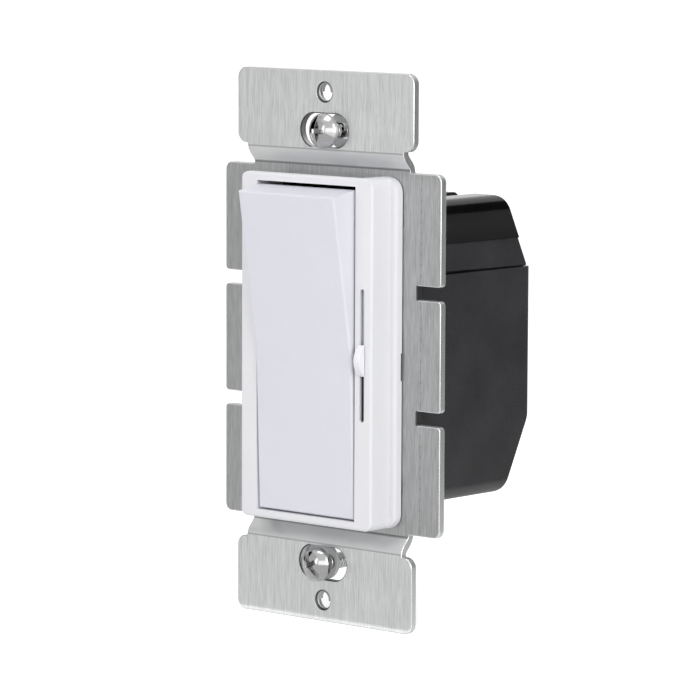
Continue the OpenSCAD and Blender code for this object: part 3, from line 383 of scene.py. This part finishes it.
# %% [markdown]
# ## Whole faces from a CAD solid
#
# The CAD solids arrive as loose triangles, and rounding those would round every seam between
# them. So a copy is merged, and the triangles that lie in one plane are dissolved into whole
# faces. Some pieces need a few points moved first, such as a screw whose shank is drawn in
# for its thread, and that is done here too, while the points are still easy to reach.

# %% Copy a CAD node
SAME_POINT = 0.002 * MM
SAME_PLANE = math.radians(0.4)


def link(name, mesh):
    piece = bpy.data.objects.new(name, mesh)
    bpy.context.scene.collection.objects.link(piece)
    return piece


def merged_copy(node, name, reshape=None):
    """A copy of a CAD node with whole faces; reshape may move each of its points first."""
    solid = bmesh.new()
    solid.from_mesh(frame["nodes"][node].data)
    if reshape:
        for v in solid.verts:
            reshape(v.co)
    bmesh.ops.remove_doubles(solid, verts=solid.verts, dist=SAME_POINT)
    bmesh.ops.dissolve_limit(solid, angle_limit=SAME_PLANE, verts=solid.verts, edges=solid.edges)
    points = [v.co.copy() for v in solid.verts]
    faces = [[v.index for v in f.verts] for f in solid.faces]
    solid.free()
    mesh = bpy.data.meshes.new(name)
    mesh.from_pydata(points, [], faces)
    return link(name, mesh)


print("points closer than", round(SAME_POINT / MM, 3), "mm become one")

# %% [markdown]
# ## Softened edges
#
# Nothing that is moulded or punched has a perfectly sharp edge, and the thin light line on
# each edge is what makes a picture look real. The CAD could round them all, but hundreds of
# tiny roundings would make it slow, so a Bevel modifier rounds what is still sharp. It
# hardens the normals, which keeps the flat faces flat to the eye. The result is made a plain
# mesh, and it replaces the CAD node on the same body. The imported record knows each node's
# body and material slot, and `dress` asks it for the body.

# %% Round a piece's edges and put it in its place
BODIES = {node: body for body, nodes in frame["record"]["behaviour"]["bodies"].items()
          for node in nodes}


def settle(piece):
    """The modifiers' result becomes the piece's own mesh."""
    shaped = piece.evaluated_get(bpy.context.evaluated_depsgraph_get())
    result = bpy.data.meshes.new_from_object(shaped)
    piece.modifiers.clear()
    piece.data = result
    return piece


def soften(piece, radius, steps=2, angle=32, sheet=False):
    """On sheet metal the width stays even, past short edges and the seams of a flat face."""
    bevel = piece.modifiers.new("edge_rounding", "BEVEL")
    bevel.width = radius * MM
    bevel.segments = steps
    bevel.limit_method = "ANGLE"
    bevel.angle_limit = math.radians(angle)
    bevel.harden_normals = True
    bevel.use_clamp_overlap = not sheet
    bevel.loop_slide = not sheet
    bevel.miter_outer = "MITER_ARC"
    piece.data.polygons.foreach_set("use_smooth", [True] * len(piece.data.polygons))
    return settle(piece)


def dress(piece, node, *materials):
    piece.data.materials.clear()
    for material in materials:
        piece.data.materials.append(material)
    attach(piece, BODIES[node])
    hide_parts(node)
    print(f"{piece.name}: {len(piece.data.polygons)} faces on {BODIES[node]}")
    return piece


# %% [markdown]
# ## The white frame, paddle and knob
#
# These are what a hand meets, so they have the softest edges. The recess behind the frame's
# top rim runs out to its left end, so a box is cut away there first. The frame and the paddle
# keep the CAD's larger rounding and get a small one on every other edge, and the knob is
# rounded in more steps because its whole end is one highlight.

# %% The frame, the paddle and the knob
RECESS_END = ((-18.5, -7.4, 32.3), (-13.1, -1.0, 34.0))
WELL_HALF = (13.1 * MM, 31.3 * MM)
# How far a face may turn to the front or the back and still count as a side
SIDEWAYS = 0.3


def cut_box(piece, low, high):
    """Takes the box between two corners, in millimetres, away from the piece."""
    box = bmesh.new()
    low, high = Vector(low) * MM, Vector(high) * MM
    bmesh.ops.create_cube(box, size=1, matrix=Matrix.LocRotScale((low + high) / 2, None,
                                                                 high - low))
    mesh = bpy.data.meshes.new("cutter")
    box.to_mesh(mesh)
    box.free()
    cutter = link("cutter", mesh)
    cut = piece.modifiers.new("cut", "BOOLEAN")
    cut.object = cutter
    settle(piece)
    bpy.data.objects.remove(cutter)
    return piece


bezel_body = cut_box(merged_copy("bezel", "bezel_moulding"), *RECESS_END)
bezel = dress(soften(bezel_body, 0.12), "bezel", FRAME_WHITE, WELL_PAINTED_SHADE)
# The opening's right and top walls take the painted shade material
for face in bezel.data.polygons:
    inside = abs(face.center.x) < WELL_HALF[0] and abs(face.center.z) < WELL_HALF[1]
    turned_away = face.normal.x + face.normal.z < -SIDEWAYS
    face.material_index = int(inside and abs(face.normal.y) < SIDEWAYS and turned_away)
dress(soften(merged_copy("rocker_paddle", "paddle_moulding"), 0.10), "rocker_paddle",
      PADDLE_WHITE)
dress(soften(merged_copy("slider_knob", "knob_moulding"), 0.12, steps=3), "slider_knob",
      KNOB_WHITE)

# %% [markdown]
# ## The black housing
#
# Two mouldings meet at a narrow gap, which the photograph shows as a black line. Their edges
# are rounder than the frame's, as on any plain technical moulding. On the real part a lip
# inside the joint stops the light, so the inner edge of the cover is brought down to the
# housing, and the gap stays open only from outside. The recessed band below the cover's face
# has the housing's duller finish, because it comes from the same unpolished steel.

# %% The housing and its cover
CASE_EDGE = 0.16
SPLIT_Z = 14.55 * MM
GAP_FRONT = 0.7 * MM
GAP_REAR = 0.3 * MM
CASE_DEPTH = 32.6 * MM
WALL_MIDDLE = (20.5 * MM, 31.0 * MM)
REAR_INSIDE = 28.0 * MM
LIP_FRONT = 0.05 * MM
LIP_REAR = -0.5 * MM
BAND_TOP = 20.25 * MM


def close_the_joint(point):
    """The inner lip of the cover's lower edge comes down to the housing."""
    edge = SPLIT_Z + GAP_FRONT + (GAP_REAR - GAP_FRONT) * point.y / CASE_DEPTH
    inside = abs(point.x) < WALL_MIDDLE[0] and point.y < WALL_MIDDLE[1]
    if inside and abs(point.z - edge) < LIP_FRONT:
        point.z = SPLIT_Z + (LIP_FRONT if point.y < REAR_INSIDE else LIP_REAR)


dress(soften(merged_copy("rear_housing", "housing_moulding"), CASE_EDGE), "rear_housing",
      HOUSING_BLACK)
cover = dress(soften(merged_copy("lead_cover", "cover_moulding", close_the_joint), CASE_EDGE),
              "lead_cover", COVER_BLACK, HOUSING_BLACK)
for face in cover.data.polygons:
    face.material_index = int(face.center.z < BAND_TOP)

# %% [markdown]
# ## A coil for threads and windings
#
# A thread and a winding are the same rule: something that climbs round an axis at an even
# pitch. Drawing it by hand would be slow and wrong, so Geometry Nodes sweeps a small profile
# along a spiral. A profile of three sides gives a thread's ridge, and one of eight gives a
# round wire. A negative size turns the triangle's point inwards, for a tapped hole.

# %% The coil's node tree
STEPS_IN_A_TURN = 28


def coil_tree(name, sides):
    tree = bpy.data.node_groups.new(name, "GeometryNodeTree")
    for size in ("Turns", "Length", "Radius", "Profile"):
        tree.interface.new_socket(size, in_out="INPUT", socket_type="NodeSocketFloat")
    tree.interface.new_socket("Finish", in_out="INPUT", socket_type="NodeSocketMaterial")
    tree.interface.new_socket("Geometry", in_out="OUTPUT", socket_type="NodeSocketGeometry")
    given = add(tree, "NodeGroupInput").outputs
    spiral = add(tree, "GeometryNodeCurveSpiral", {
        "Resolution": STEPS_IN_A_TURN, "Rotations": given["Turns"],
        "Start Radius": given["Radius"], "End Radius": given["Radius"],
        "Height": given["Length"]})
    upright = add(tree, "GeometryNodeSetCurveNormal", {"mode": "Z_UP", 0: spiral.outputs[0]})
    profile = add(tree, "GeometryNodeCurvePrimitiveCircle", {"Resolution": sides,
                                                             "Radius": given["Profile"]})
    swept = add(tree, "GeometryNodeCurveToMesh", {
        0: upright.outputs[0], 1: profile.outputs[0], "Fill Caps": True})
    real = add(tree, "GeometryNodeRealizeInstances", {0: swept.outputs[0]})
    done = add(tree, "GeometryNodeSetMaterial", {0: real.outputs[0],
                                                 "Material": given["Finish"]})
    add(tree, "NodeGroupOutput", {0: done.outputs[0]})
    return tree


RIDGE = coil_tree("thread_ridge", 3)
TURNS_OF_WIRE = coil_tree("turns_of_wire", 8)
print("node trees:", RIDGE.name, "and", TURNS_OF_WIRE.name)

# %% [markdown]
# ## From a coil to a piece
#
# A screw is a turned core with a ridge rolled onto it, and a choke is a core with wire laid
# round it. A coil that stayed a modifier would be lost in the exported model, so each one is
# made a plain mesh where it belongs, and then joined with its core. They could also stay
# apart, but one screw is one piece of metal, so one mesh says it better.

# %% Grow a coil and join it to its core
PITCH = 25.4 / 32 * MM
CREST = 1.75 * MM
ROOT = 1.36 * MM
PROFILE = 0.46 * MM
ALONG_Y = Matrix.Rotation(-math.pi / 2, 4, "X")


def grow(tree, name, place, values):
    piece = link(name, bpy.data.meshes.new(name))
    modifier = piece.modifiers.new("grow", "NODES")
    modifier.node_group = tree
    for socket in tree.interface.items_tree:
        if socket.in_out == "INPUT":
            modifier[socket.identifier] = values[socket.name]
    settle(piece).data.transform(place)
    return piece


def join(name, pieces):
    """Several meshes become one, and each part keeps the number of its material."""
    whole = bmesh.new()
    for index, piece in enumerate(pieces):
        before = len(whole.faces)
        whole.from_mesh(piece.data)
        whole.faces.ensure_lookup_table()
        for face in whole.faces[before:]:
            face.material_index = index
        bpy.data.objects.remove(piece)
    mesh = bpy.data.meshes.new(name)
    whole.to_mesh(mesh)
    whole.free()
    return link(name, mesh)


print("a thread of 32 turns to the inch climbs", round(PITCH / MM, 3), "mm in each turn")

# %% [markdown]
# ## The strap's surfaces
#
# One punched sheet shows several surfaces: brushed faces, a pressed neck at each fold, and
# the sheared edge all round, with a bright line where the edge is rolled over. They are one
# piece of metal, so they stay one mesh, and each face takes its material from the way it
# points and from its height on the strap. The two small holes are tapped for the wall
# plate's screws, so their bores are widened and a ridge is grown in each.

# %% The punched strap
PLATE_HALF = 34.0 * MM
EAR_FOOT = 38.0 * MM
STRAP_FRONT = -1.5 * MM
EAR_FRONT = -3.5 * MM
SCORE_DEPTH = 0.15 * MM
TAP_Z = 48.4 * MM
TAP_BORE = 1.4 * MM
TAP_WALL = 1.65 * MM
TAP_START = 0.3 * MM
TAP_GRIP = 0.2 * MM
TAP_RIM = 2.3 * MM
TAP_TURNS = 1.5
SLOT_HALF = 7.0 * MM
SLOT_REACH = 30.0 * MM
LOWEST_RIM = 52.0 * MM
# From 0.5 on, a neck's face looks to the side and is its sheared edge. From 0.97 on, a face
# looks straight to the front or the back and isn't part of a rounded edge.
EDGEWISE, STRAIGHT = 0.5, 0.97
EAR, PLATE, NECK, SHEAR, RIM, PAINTED_SHADE_EDGE = range(6)


def fit_strap(point):
    """Fills the score, which the material draws as painted shade, and widens the tapped bores."""
    at_score = abs(abs(point.x) - SCORE_X) < 2 * SCORE_HALF
    if at_score and abs(point.y - STRAP_FRONT) < SCORE_DEPTH:
        point.y = STRAP_FRONT
    hole = Vector((point.x, abs(point.z) - TAP_Z))
    if hole.length < TAP_BORE * 1.05:
        hole *= TAP_WALL / hole.length
        point.x, point.z = hole.x, math.copysign(hole.y + TAP_Z, point.z)


def strap_finish(face):
    height, side = abs(face.center.z), abs(face.center.x)
    facing = abs(face.normal.y)
    if PLATE_HALF < height < EAR_FOOT and abs(face.normal.x) < EDGEWISE:
        return NECK
    at_slot_end = height < SLOT_REACH and side < SCORE_X + 4 * SCORE_HALF
    at_hole_rim = (facing > SIDEWAYS and EAR_FOOT < height < TAP_Z + TAP_RIM
                   and side < SLOT_HALF)
    # Painted shade: the slot ends and the rims of the tapped holes take a dark edge material
    if facing < STRAIGHT and (at_slot_end or at_hole_rim):
        return PAINTED_SHADE_EDGE
    if facing < SIDEWAYS:
        return SHEAR
    if facing < STRAIGHT:
        return SHEAR if face.center.z < -LOWEST_RIM else RIM
    return PLATE if height < PLATE_HALF else EAR


strap_body = soften(merged_copy("mounting_strap", "strap_body", fit_strap), 0.20, sheet=True)
finishes = [strap_finish(face) for face in strap_body.data.polygons]
taps = [grow(RIDGE, f"tap_{side}",
             Matrix.Translation((0, EAR_FRONT + TAP_START, side * TAP_Z)) @ ALONG_Y,
             {"Turns": TAP_TURNS, "Length": TAP_TURNS * PITCH, "Radius": TAP_WALL + TAP_GRIP,
              "Profile": -PROFILE, "Finish": BURNISHED}) for side in (-1, 1)]
strap = join("strap_pressing", [strap_body, *taps])
dress(strap, "mounting_strap", BRUSHED_EAR, BRUSHED_PLATE_PAINTED_SHADE, FOLDED, SHEARED, BURNISHED,
      PAINTED_SHADE_EDGE_METAL)
for i, face in enumerate(strap.data.polygons):
    face.material_index = finishes[i] if i < len(finishes) else SHEAR

# %% [markdown]
# ## The mounting screws
#
# Each ear is held by a machine screw with 32 threads to the inch. The CAD solid already has
# the domed head and its recess, so its edges are rounded and its shank is drawn in to the
# root of the thread. The ridge is then grown on it in two lengths, with the neck that carries
# the washer left plain between them, as on a real captive screw. No two screws stop at the
# same angle, so each core is turned by its own.

# %% Threads on the two screws
HEAD_HEIGHT = 2.4 * MM
WASHER_FRONT = -2.05 * MM
WASHER_BACK = -1.1 * MM
CLEAR = 0.1 * MM
RUN_OUT = 0.3 * MM
TIP_TAPER = 0.8 * MM


def mounting_screw(node, name, turn):
    low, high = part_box(node)
    axis = (low + high) / 2
    under = low.y + HEAD_HEIGHT

    def draw_in(point):
        spoke = Vector((point.x - axis.x, point.z - axis.z))
        if point.y > under + CLEAR and spoke.length > ROOT:
            spoke *= ROOT / spoke.length
            point.x, point.z = axis.x + spoke.x, axis.z + spoke.y

    def ridge(start, stop):
        return grow(RIDGE, name + "_ridge",
                    Matrix.Translation((axis.x, start, axis.z)) @ ALONG_Y,
                    {"Turns": (stop - start) / PITCH, "Length": stop - start,
                     "Radius": CREST - PROFILE, "Profile": PROFILE, "Finish": NICKEL})

    core = soften(merged_copy(node, name + "_core", draw_in), 0.07, angle=25)
    core.data.transform(Matrix.Translation((axis.x, 0, axis.z))
                        @ Matrix.Rotation(math.radians(turn), 4, "Y")
                        @ Matrix.Translation((-axis.x, 0, -axis.z)))
    ridges = [ridge(under + RUN_OUT, WASHER_FRONT - CLEAR),
              ridge(WASHER_BACK + CLEAR, high.y - TIP_TAPER)]
    dress(join(name, [core, *ridges]), node, NICKEL, NICKEL, NICKEL)


for end, turn in (("top", 90), ("bottom", 55)):
    mounting_screw(f"{end}_mounting_screw", f"{end}_screw_threaded", turn)

# %% [markdown]
# ## The circuit board
#
# Nobody sees the parts inside until the housing is opened, yet each is a real component with
# its own look, so each gets its own material. The board has a green solder mask over copper
# tracks, which show as slightly lighter lines. Each track could be a strip of mesh, but they
# run on a grid of 2.54 mm, the spacing of the parts' leads, so a brick pattern draws them.

# %% Solder mask and tracks
TRACK_CELL = (5.2 * MM, 2.54 * MM)
TRACK_WIDTH = 0.22 * MM


def circuit_board(name, mask, track):
    material, tree, place = new_tree(name)
    turned = add(tree, STRETCH, {"Rotation": (math.pi / 2, 0, 0), "Vector": place})
    bricks = add(tree, "ShaderNodeTexBrick", {
        "Scale": 1.0, "Brick Width": TRACK_CELL[0], "Row Height": TRACK_CELL[1],
        "Mortar Size": TRACK_WIDTH, "Mortar Smooth": 0.2, "Vector": turned.outputs[0]})
    tone = add(tree, MIX, {"data_type": "RGBA", 0: bricks.outputs["Fac"],
                           6: linear(mask), 7: linear(track)})
    weave = add(tree, NOISE, {"Scale": per_mm(0.5), "Vector": place})
    relief = add(tree, MATH, {"operation": "MULTIPLY_ADD", 0: weave.outputs[0], 1: 0.2,
                              2: bricks.outputs["Fac"]})
    gloss = add(tree, RANGE, {0: weave.outputs[0], 3: 0.22, 4: 0.34})
    bump = add(tree, BUMP, {"Strength": 0.6, "Distance": 0.03 * MM, "Height": relief.outputs[0]})
    finish(tree, tone.outputs[2], gloss.outputs[0], bump.outputs[0])
    return material


# A glossy green film: the tracks under it stand up a little and show paler
BOARD = circuit_board("solder_mask_board", "#12381f", "#1f5630")
print("tracks", round(TRACK_WIDTH / MM, 2), "mm wide, every", round(TRACK_CELL[1] / MM, 2), "mm")

# %% [markdown]
# ## The resistors
#
# A resistor is a small body baked in lacquer, with painted bands that tell its value. The
# bands could be rings of mesh, but paint has no height that shows, so they are drawn in the
# material, at their real distances along the body.

# %% Lacquer and bands
RESISTOR_START = 11.0 * MM
# Colour, and distance from the body's end in millimetres
BANDS = [("#7a2c1c", 0.9), ("#2c2c30", 1.9), ("#b0541c", 2.9), ("#a8842c", 4.1)]
BAND_HALF = 0.22 * MM


def banded_resistor(name, lacquer):
    material, tree, place = new_tree(name)
    at = add(tree, SPLIT, {0: place}).outputs["X"]
    cloud = add(tree, NOISE, {"Scale": per_mm(0.6), "Vector": place})
    tone = linear(lacquer)
    for colour, distance in BANDS:
        here = add(tree, MATH, {"operation": "COMPARE", 0: at,
                                1: RESISTOR_START + distance * MM, 2: BAND_HALF})
        tone = add(tree, MIX, {"data_type": "RGBA", 0: here.outputs[0], 6: tone,
                               7: linear(colour)}).outputs[2]
    gloss = add(tree, RANGE, {0: cloud.outputs[0], 3: 0.24, 4: 0.36})
    bump = add(tree, BUMP, {"Strength": 0.4, "Distance": 0.01 * MM, "Height": cloud.outputs[0]})
    finish(tree, tone, gloss.outputs[0], bump.outputs[0])
    return material


# Baked lacquer: tan and glossy, a little cloudy, and the same gloss over the bands
RESISTOR = banded_resistor("banded_resistor_lacquer", "#c9a877")
print("resistor bands at", [distance for _, distance in BANDS], "mm along the body")

# %% [markdown]
# ## The strip behind the slot
#
# A thin strip closes the slider's slot from behind and travels with the knob. It is painted
# pale above the knob, as painted light, and dark below it, as painted shade. It could be cut
# in two, but one material that changes at a real height keeps it one piece.

# %% The two-tone strip
STRIP_BOUNDARY = 1.0 * MM


def lit_and_shaded_strip(name, above, below):
    material, tree, place = new_tree(name)
    at = add(tree, SPLIT, {0: place})
    grain = add(tree, NOISE, {"Scale": per_mm(0.4), "Vector": place})
    # Below the boundary the strip gets painted shade, above it painted light
    lower = add(tree, MATH, {"operation": "LESS_THAN", 0: at.outputs["Z"], 1: STRIP_BOUNDARY})
    tone = add(tree, MIX, {"data_type": "RGBA", 0: lower.outputs[0],
                           6: linear(above), 7: linear(below)})
    gloss = add(tree, RANGE, {0: grain.outputs[0], 3: 0.45, 4: 0.55})
    bump = add(tree, BUMP, {"Strength": 0.4, "Distance": 0.006 * MM, "Height": grain.outputs[0]})
    finish(tree, tone.outputs[2], gloss.outputs[0], bump.outputs[0])
    return material


# Painted light above the boundary and painted shade below it, matt on both sides, so that the
# slot stays quiet beside the glossy knob
SHIELD_PAINTED_LIGHT_AND_SHADE = lit_and_shaded_strip("slider_shield_painted_light_and_shade", "#d8d8e0", "#4a4a4c")
print("the strip changes its tone at", round(STRIP_BOUNDARY / MM, 1), "mm")

# %% [markdown]
# ## Plain parts inside
#
# The rest is moulded, pressed or dipped, and the recipe for moulded plastic suits it all:
# only the colour, the gloss and the grain change. Each could have a recipe of its own, but
# these parts are small and hidden, and three numbers tell a dull fibre from a dipped gloss.

# %% Plastics and sheets inside
# Pale grey fibre: dull, with the short fuzz of pressed paper
FIBRE = moulded("grey_fibre_sheet", "#e4e5e7", "#cccdcf", 0.62, 0.25, 0.02)
# The insulating sheet: the dullest of all, with a coarse soft grain
INSULATION = moulded("pressed_insulating_sheet", "#5a6854", "#66745f", 0.70, 0.6, 0.02)
# Filled epoxy: black and half matt, with a fine sandy skin
EPOXY = moulded("black_epoxy", "#17171a", "#1e1e21", 0.42, 0.2, 0.012)
# Split mica: smooth and cloudy, with a soft gleam
MICA = moulded("mica_sheet", "#cfcfc8", "#dcdcd6", 0.30, 1.2, 0.006)
# Nylon without pigment: warm ivory, and a little waxy
NYLON = moulded("natural_nylon", "#dfdac6", "#e8e4d4", 0.45, 0.5, 0.006)
# Ferrite is baked from powder: dark grey, with a fine dry grain
FERRITE = moulded("sintered_ferrite", "#29292c", "#343437", 0.55, 0.2, 0.02)
# The two capacitors are dipped: glossy, with slow waves where the epoxy ran
AMBER = moulded("amber_dipped_epoxy", "#b8731f", "#c88a30", 0.20, 2.5, 0.02)
RED = moulded("red_dipped_epoxy", "#7c2c1e", "#8c3626", 0.22, 2.0, 0.02)
# Painted glass: the glossiest part inside
DIAC = moulded("blue_glass_diac", "#26407c", "#30508c", 0.15, 1.0, 0.004)
# Phenolic: brown, with a half-matt skin
PHENOLIC = moulded("phenolic_moulding", "#4b3628", "#5a4433", 0.50, 0.3, 0.012)
print("inside:", [m.name for m in (FIBRE, INSULATION, EPOXY, MICA, NYLON, FERRITE, PHENOLIC)])

# %% [markdown]
# ## Dressing the parts inside
#
# A part thick enough to have visible edges is copied and softened like the outer ones. Thin
# sheets and small stamped parts keep the CAD solid, whose shape is already right, and only
# get their finish. The table says which is which: a rounding of 0 keeps the solid.

# %% The table of inner parts
INNER = {
    "housing_screws": (ZINC, 0.06), "insulating_sheet": (INSULATION, 0),
    "circuit_board": (BOARD, 0.08), "power_triac": (EPOXY, 0.12), "triac_tab": (TINNED, 0),
    "triac_insulator": (MICA, 0), "triac_rivet": (ZINC, 0.08), "choke_bobbin": (NYLON, 0.15),
    "choke_core": (FERRITE, 0.2), "film_capacitor": (AMBER, 0.5),
    "timing_capacitor": (RED, 0.35), "trigger_diac": (DIAC, 0), "resistors": (RESISTOR, 0),
    "slide_control_case": (ZINC, 0.08), "resistance_track": (PHENOLIC, 0),
    "slide_control_terminals": (TINNED, 0), "switch_base": (PHENOLIC, 0.12),
    "fixed_contacts": (COPPER, 0), "detent_spring": (SPRING, 0),
    "rocker_actuator": (EPOXY, 0.12), "contact_carriage": (NYLON, 0.12),
    "bridge_contact": (COPPER, 0.06), "slider_shield": (SHIELD_PAINTED_LIGHT_AND_SHADE, 0),
    "wiper_carriage": (EPOXY, 0.06), "wiper_contact": (COPPER, 0),
    "top_washer": (FIBRE, 0.06), "bottom_washer": (FIBRE, 0.06)}

for node, (material, radius) in INNER.items():
    if radius:
        dress(soften(merged_copy(node, node + "_soft"), radius), node, material)
    else:
        frame["nodes"][node].data.materials.clear()
        frame["nodes"][node].data.materials.append(material)
print(sum(1 for _, radius in INNER.values() if not radius), "nodes keep their CAD solid")

# %% [markdown]
# ## The choke's winding
#
# The choke is a bobbin wound with enamelled copper wire. The CAD solid stands for all its
# layers, so it is drawn in to make the core of the winding, and the outer layer is grown as
# a real coil of round wire, one turn beside the next.

# %% Wind the choke
WIRE_RADIUS = 0.52 * MM
OUTER_LAYER = 1.6 * WIRE_RADIUS
low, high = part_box("choke_winding")
choke_axis = (low + high) / 2
outer = (high.z - low.z) / 2
wound_length = high.x - low.x - 2 * WIRE_RADIUS
turns = wound_length / (2 * WIRE_RADIUS)


def draw_in_winding(point):
    spoke = Vector((point.y - choke_axis.y, point.z - choke_axis.z))
    inside = outer - OUTER_LAYER
    if spoke.length > inside:
        spoke *= inside / spoke.length
        point.y, point.z = choke_axis.y + spoke.x, choke_axis.z + spoke.y


wound = grow(TURNS_OF_WIRE, "outer_layer",
             Matrix.Translation((low.x + WIRE_RADIUS, choke_axis.y, choke_axis.z))
             @ Matrix.Rotation(math.pi / 2, 4, "Y"),
             {"Turns": turns, "Length": wound_length, "Radius": outer - WIRE_RADIUS,
              "Profile": WIRE_RADIUS, "Finish": WIRE})
wound.data.polygons.foreach_set("use_smooth", [True] * len(wound.data.polygons))
layers = merged_copy("choke_winding", "inner_layers", draw_in_winding)
dress(join("choke_winding_wire", [layers, wound]), "choke_winding", WIRE, WIRE)
print("turns in the outer layer:", round(turns, 1))

# %% [markdown]
# ## The stage
#
# A product picture on white has a white floor and a white surround. Both are white only for
# what looks straight at them or at their reflection, and they give the object a weaker, even
# light, so that pale plastic doesn't burn out. The floor keeps the object's shadow, because
# its own paint is lit like anything else and only a part of its white is added.

# %% Surfaces of the stage
FLOOR_Z = cad_box[0].z
FLOOR_SIZE = 12


def seen_light(tree, unseen, seen):
    """One strength for a ray that looks, reflects or passes through, and one for others."""
    path = add(tree, "ShaderNodeLightPath").outputs
    sees = add(tree, MATH, {"operation": "MAXIMUM", 0: path["Is Camera Ray"],
                            1: path["Is Glossy Ray"]})
    sees = add(tree, MATH, {"operation": "MAXIMUM", 0: sees.outputs[0],
                            1: path["Is Transmission Ray"]})
    return add(tree, RANGE, {0: sees.outputs[0], 3: unseen, 4: seen}).outputs[0]


def stage_material(name, colour, glow):
    material, tree, _ = new_tree(name)
    light = add(tree, "ShaderNodeEmission", {"Strength": seen_light(tree, 0.0, glow)})
    paint = add(tree, "ShaderNodeBsdfDiffuse", {"Color": linear(colour)})
    both = add(tree, "ShaderNodeAddShader", {0: paint.outputs[0], 1: light.outputs[0]})
    add(tree, "ShaderNodeOutputMaterial", {"Surface": both.outputs[0]})
    return material


def card(name, width, height, at, look_at, material):
    mesh = bpy.data.meshes.new(name)
    x, y = width / 2, height / 2
    mesh.from_pydata([(-x, -y, 0), (x, -y, 0), (x, y, 0), (-x, y, 0)], [], [(0, 1, 2, 3)])
    mesh.materials.append(material)
    piece = link(name, mesh)
    piece.location = at
    piece.rotation_euler = (Vector(look_at) - Vector(at)).to_track_quat("Z", "Y").to_euler()
    return piece


card("studio_floor", FLOOR_SIZE, FLOOR_SIZE, (0, 0, FLOOR_Z), (0, 0, 1),
     stage_material("floor_paint", "#e4e4e4", 0.62))
print("the floor lies at", round(FLOOR_Z / MM, 2), "mm")

# %% [markdown]
# ## Surround and softboxes
#
# Three large soft lamps stand where a photographer would put them: a strong one on the right,
# which models the frame's side, and weaker ones above and in front. Large lamps give soft
# shadows, and their wide reflections are what the domed screw heads show.

# %% Surround and softboxes
AMBIENT = 0.585
SOFTBOXES = [("right_softbox", (0.9, 1.2), (1.4, -0.5, 0.5), 10),
             ("top_softbox", (0.7, 0.7), (0.0, -0.5, 1.4), 3.5),
             ("front_softbox", (1.4, 1.0), (-0.5, -1.6, 0.4), 6)]

world = bpy.data.worlds.new("studio_surround")
bpy.context.scene.world = world
world.use_nodes = True
world.node_tree.nodes.clear()
surround = add(world.node_tree, "ShaderNodeBackground", {
    "Color": (1, 1, 1, 1), "Strength": seen_light(world.node_tree, AMBIENT, 1.0)})
add(world.node_tree, "ShaderNodeOutputWorld", {"Surface": surround.outputs[0]})

for name, size, at, power in SOFTBOXES:
    lamp = bpy.data.lights.new(name, "AREA")
    lamp.shape = "RECTANGLE"
    lamp.size, lamp.size_y = size
    lamp.energy = power
    piece = bpy.data.objects.new(name, lamp)
    piece.location = at
    piece.rotation_euler = (-Vector(at)).to_track_quat("-Z", "Y").to_euler()
    bpy.context.scene.collection.objects.link(piece)
print("softboxes:", [lamp.name for lamp in bpy.data.lights])

# %% [markdown]
# ## Cards for the reflections
#
# Shiny metal shows what stands round it, and in a white room it would look white all over.
# A photographer puts up grey and black cards just outside the picture to give it shape. Here
# they stand, or lie on the floor as paper, where the photograph's reflections are darker or
# lighter. They are seen in reflections only, so they cast no shadow and need no hiding.

# %% Cards that only reflections see
ON_FLOOR = FLOOR_Z + 0.5 * MM
MIDDLE = (0, 0, 0)
# Name, width and height in metres, place, point that it faces, brightness
CARDS = [
    ("grey_card_left", 1.7, 1.4, (-0.85, -0.95, 0.4), MIDDLE, 0.73),
    ("grey_paper_left", 1.3, 1.1, (-0.50, -0.5545, ON_FLOOR), (-0.50, -0.5545, 1), 0.75),
    ("white_card_front", 1.9, 0.9, (1.10, -1.25, 0.12), MIDDLE, 2.0),
    ("dark_paper_back", 0.9, 0.8, (0.52, 0.45, ON_FLOOR), (0.52, 0.45, 1), 0.13),
    ("black_card_back", 1.4, 0.9, (0.74, 0.80, 0.42), (0, 0, 0.42), 0.0),
    ("black_card_side", 0.5, 0.7, (-0.6, -0.12, 0.1), MIDDLE, 0.0)]

for name, width, height, at, look_at, glow in CARDS:
    paint = stage_material(name + "_paint", "#000000", glow)
    piece = card(name, width, height, at, look_at, paint)
    piece.visible_camera = False
    piece.visible_diffuse = False
    piece.visible_shadow = False
bpy.context.scene.view_settings.view_transform = "Standard"
print("reflection cards:", [name for name, *_ in CARDS])
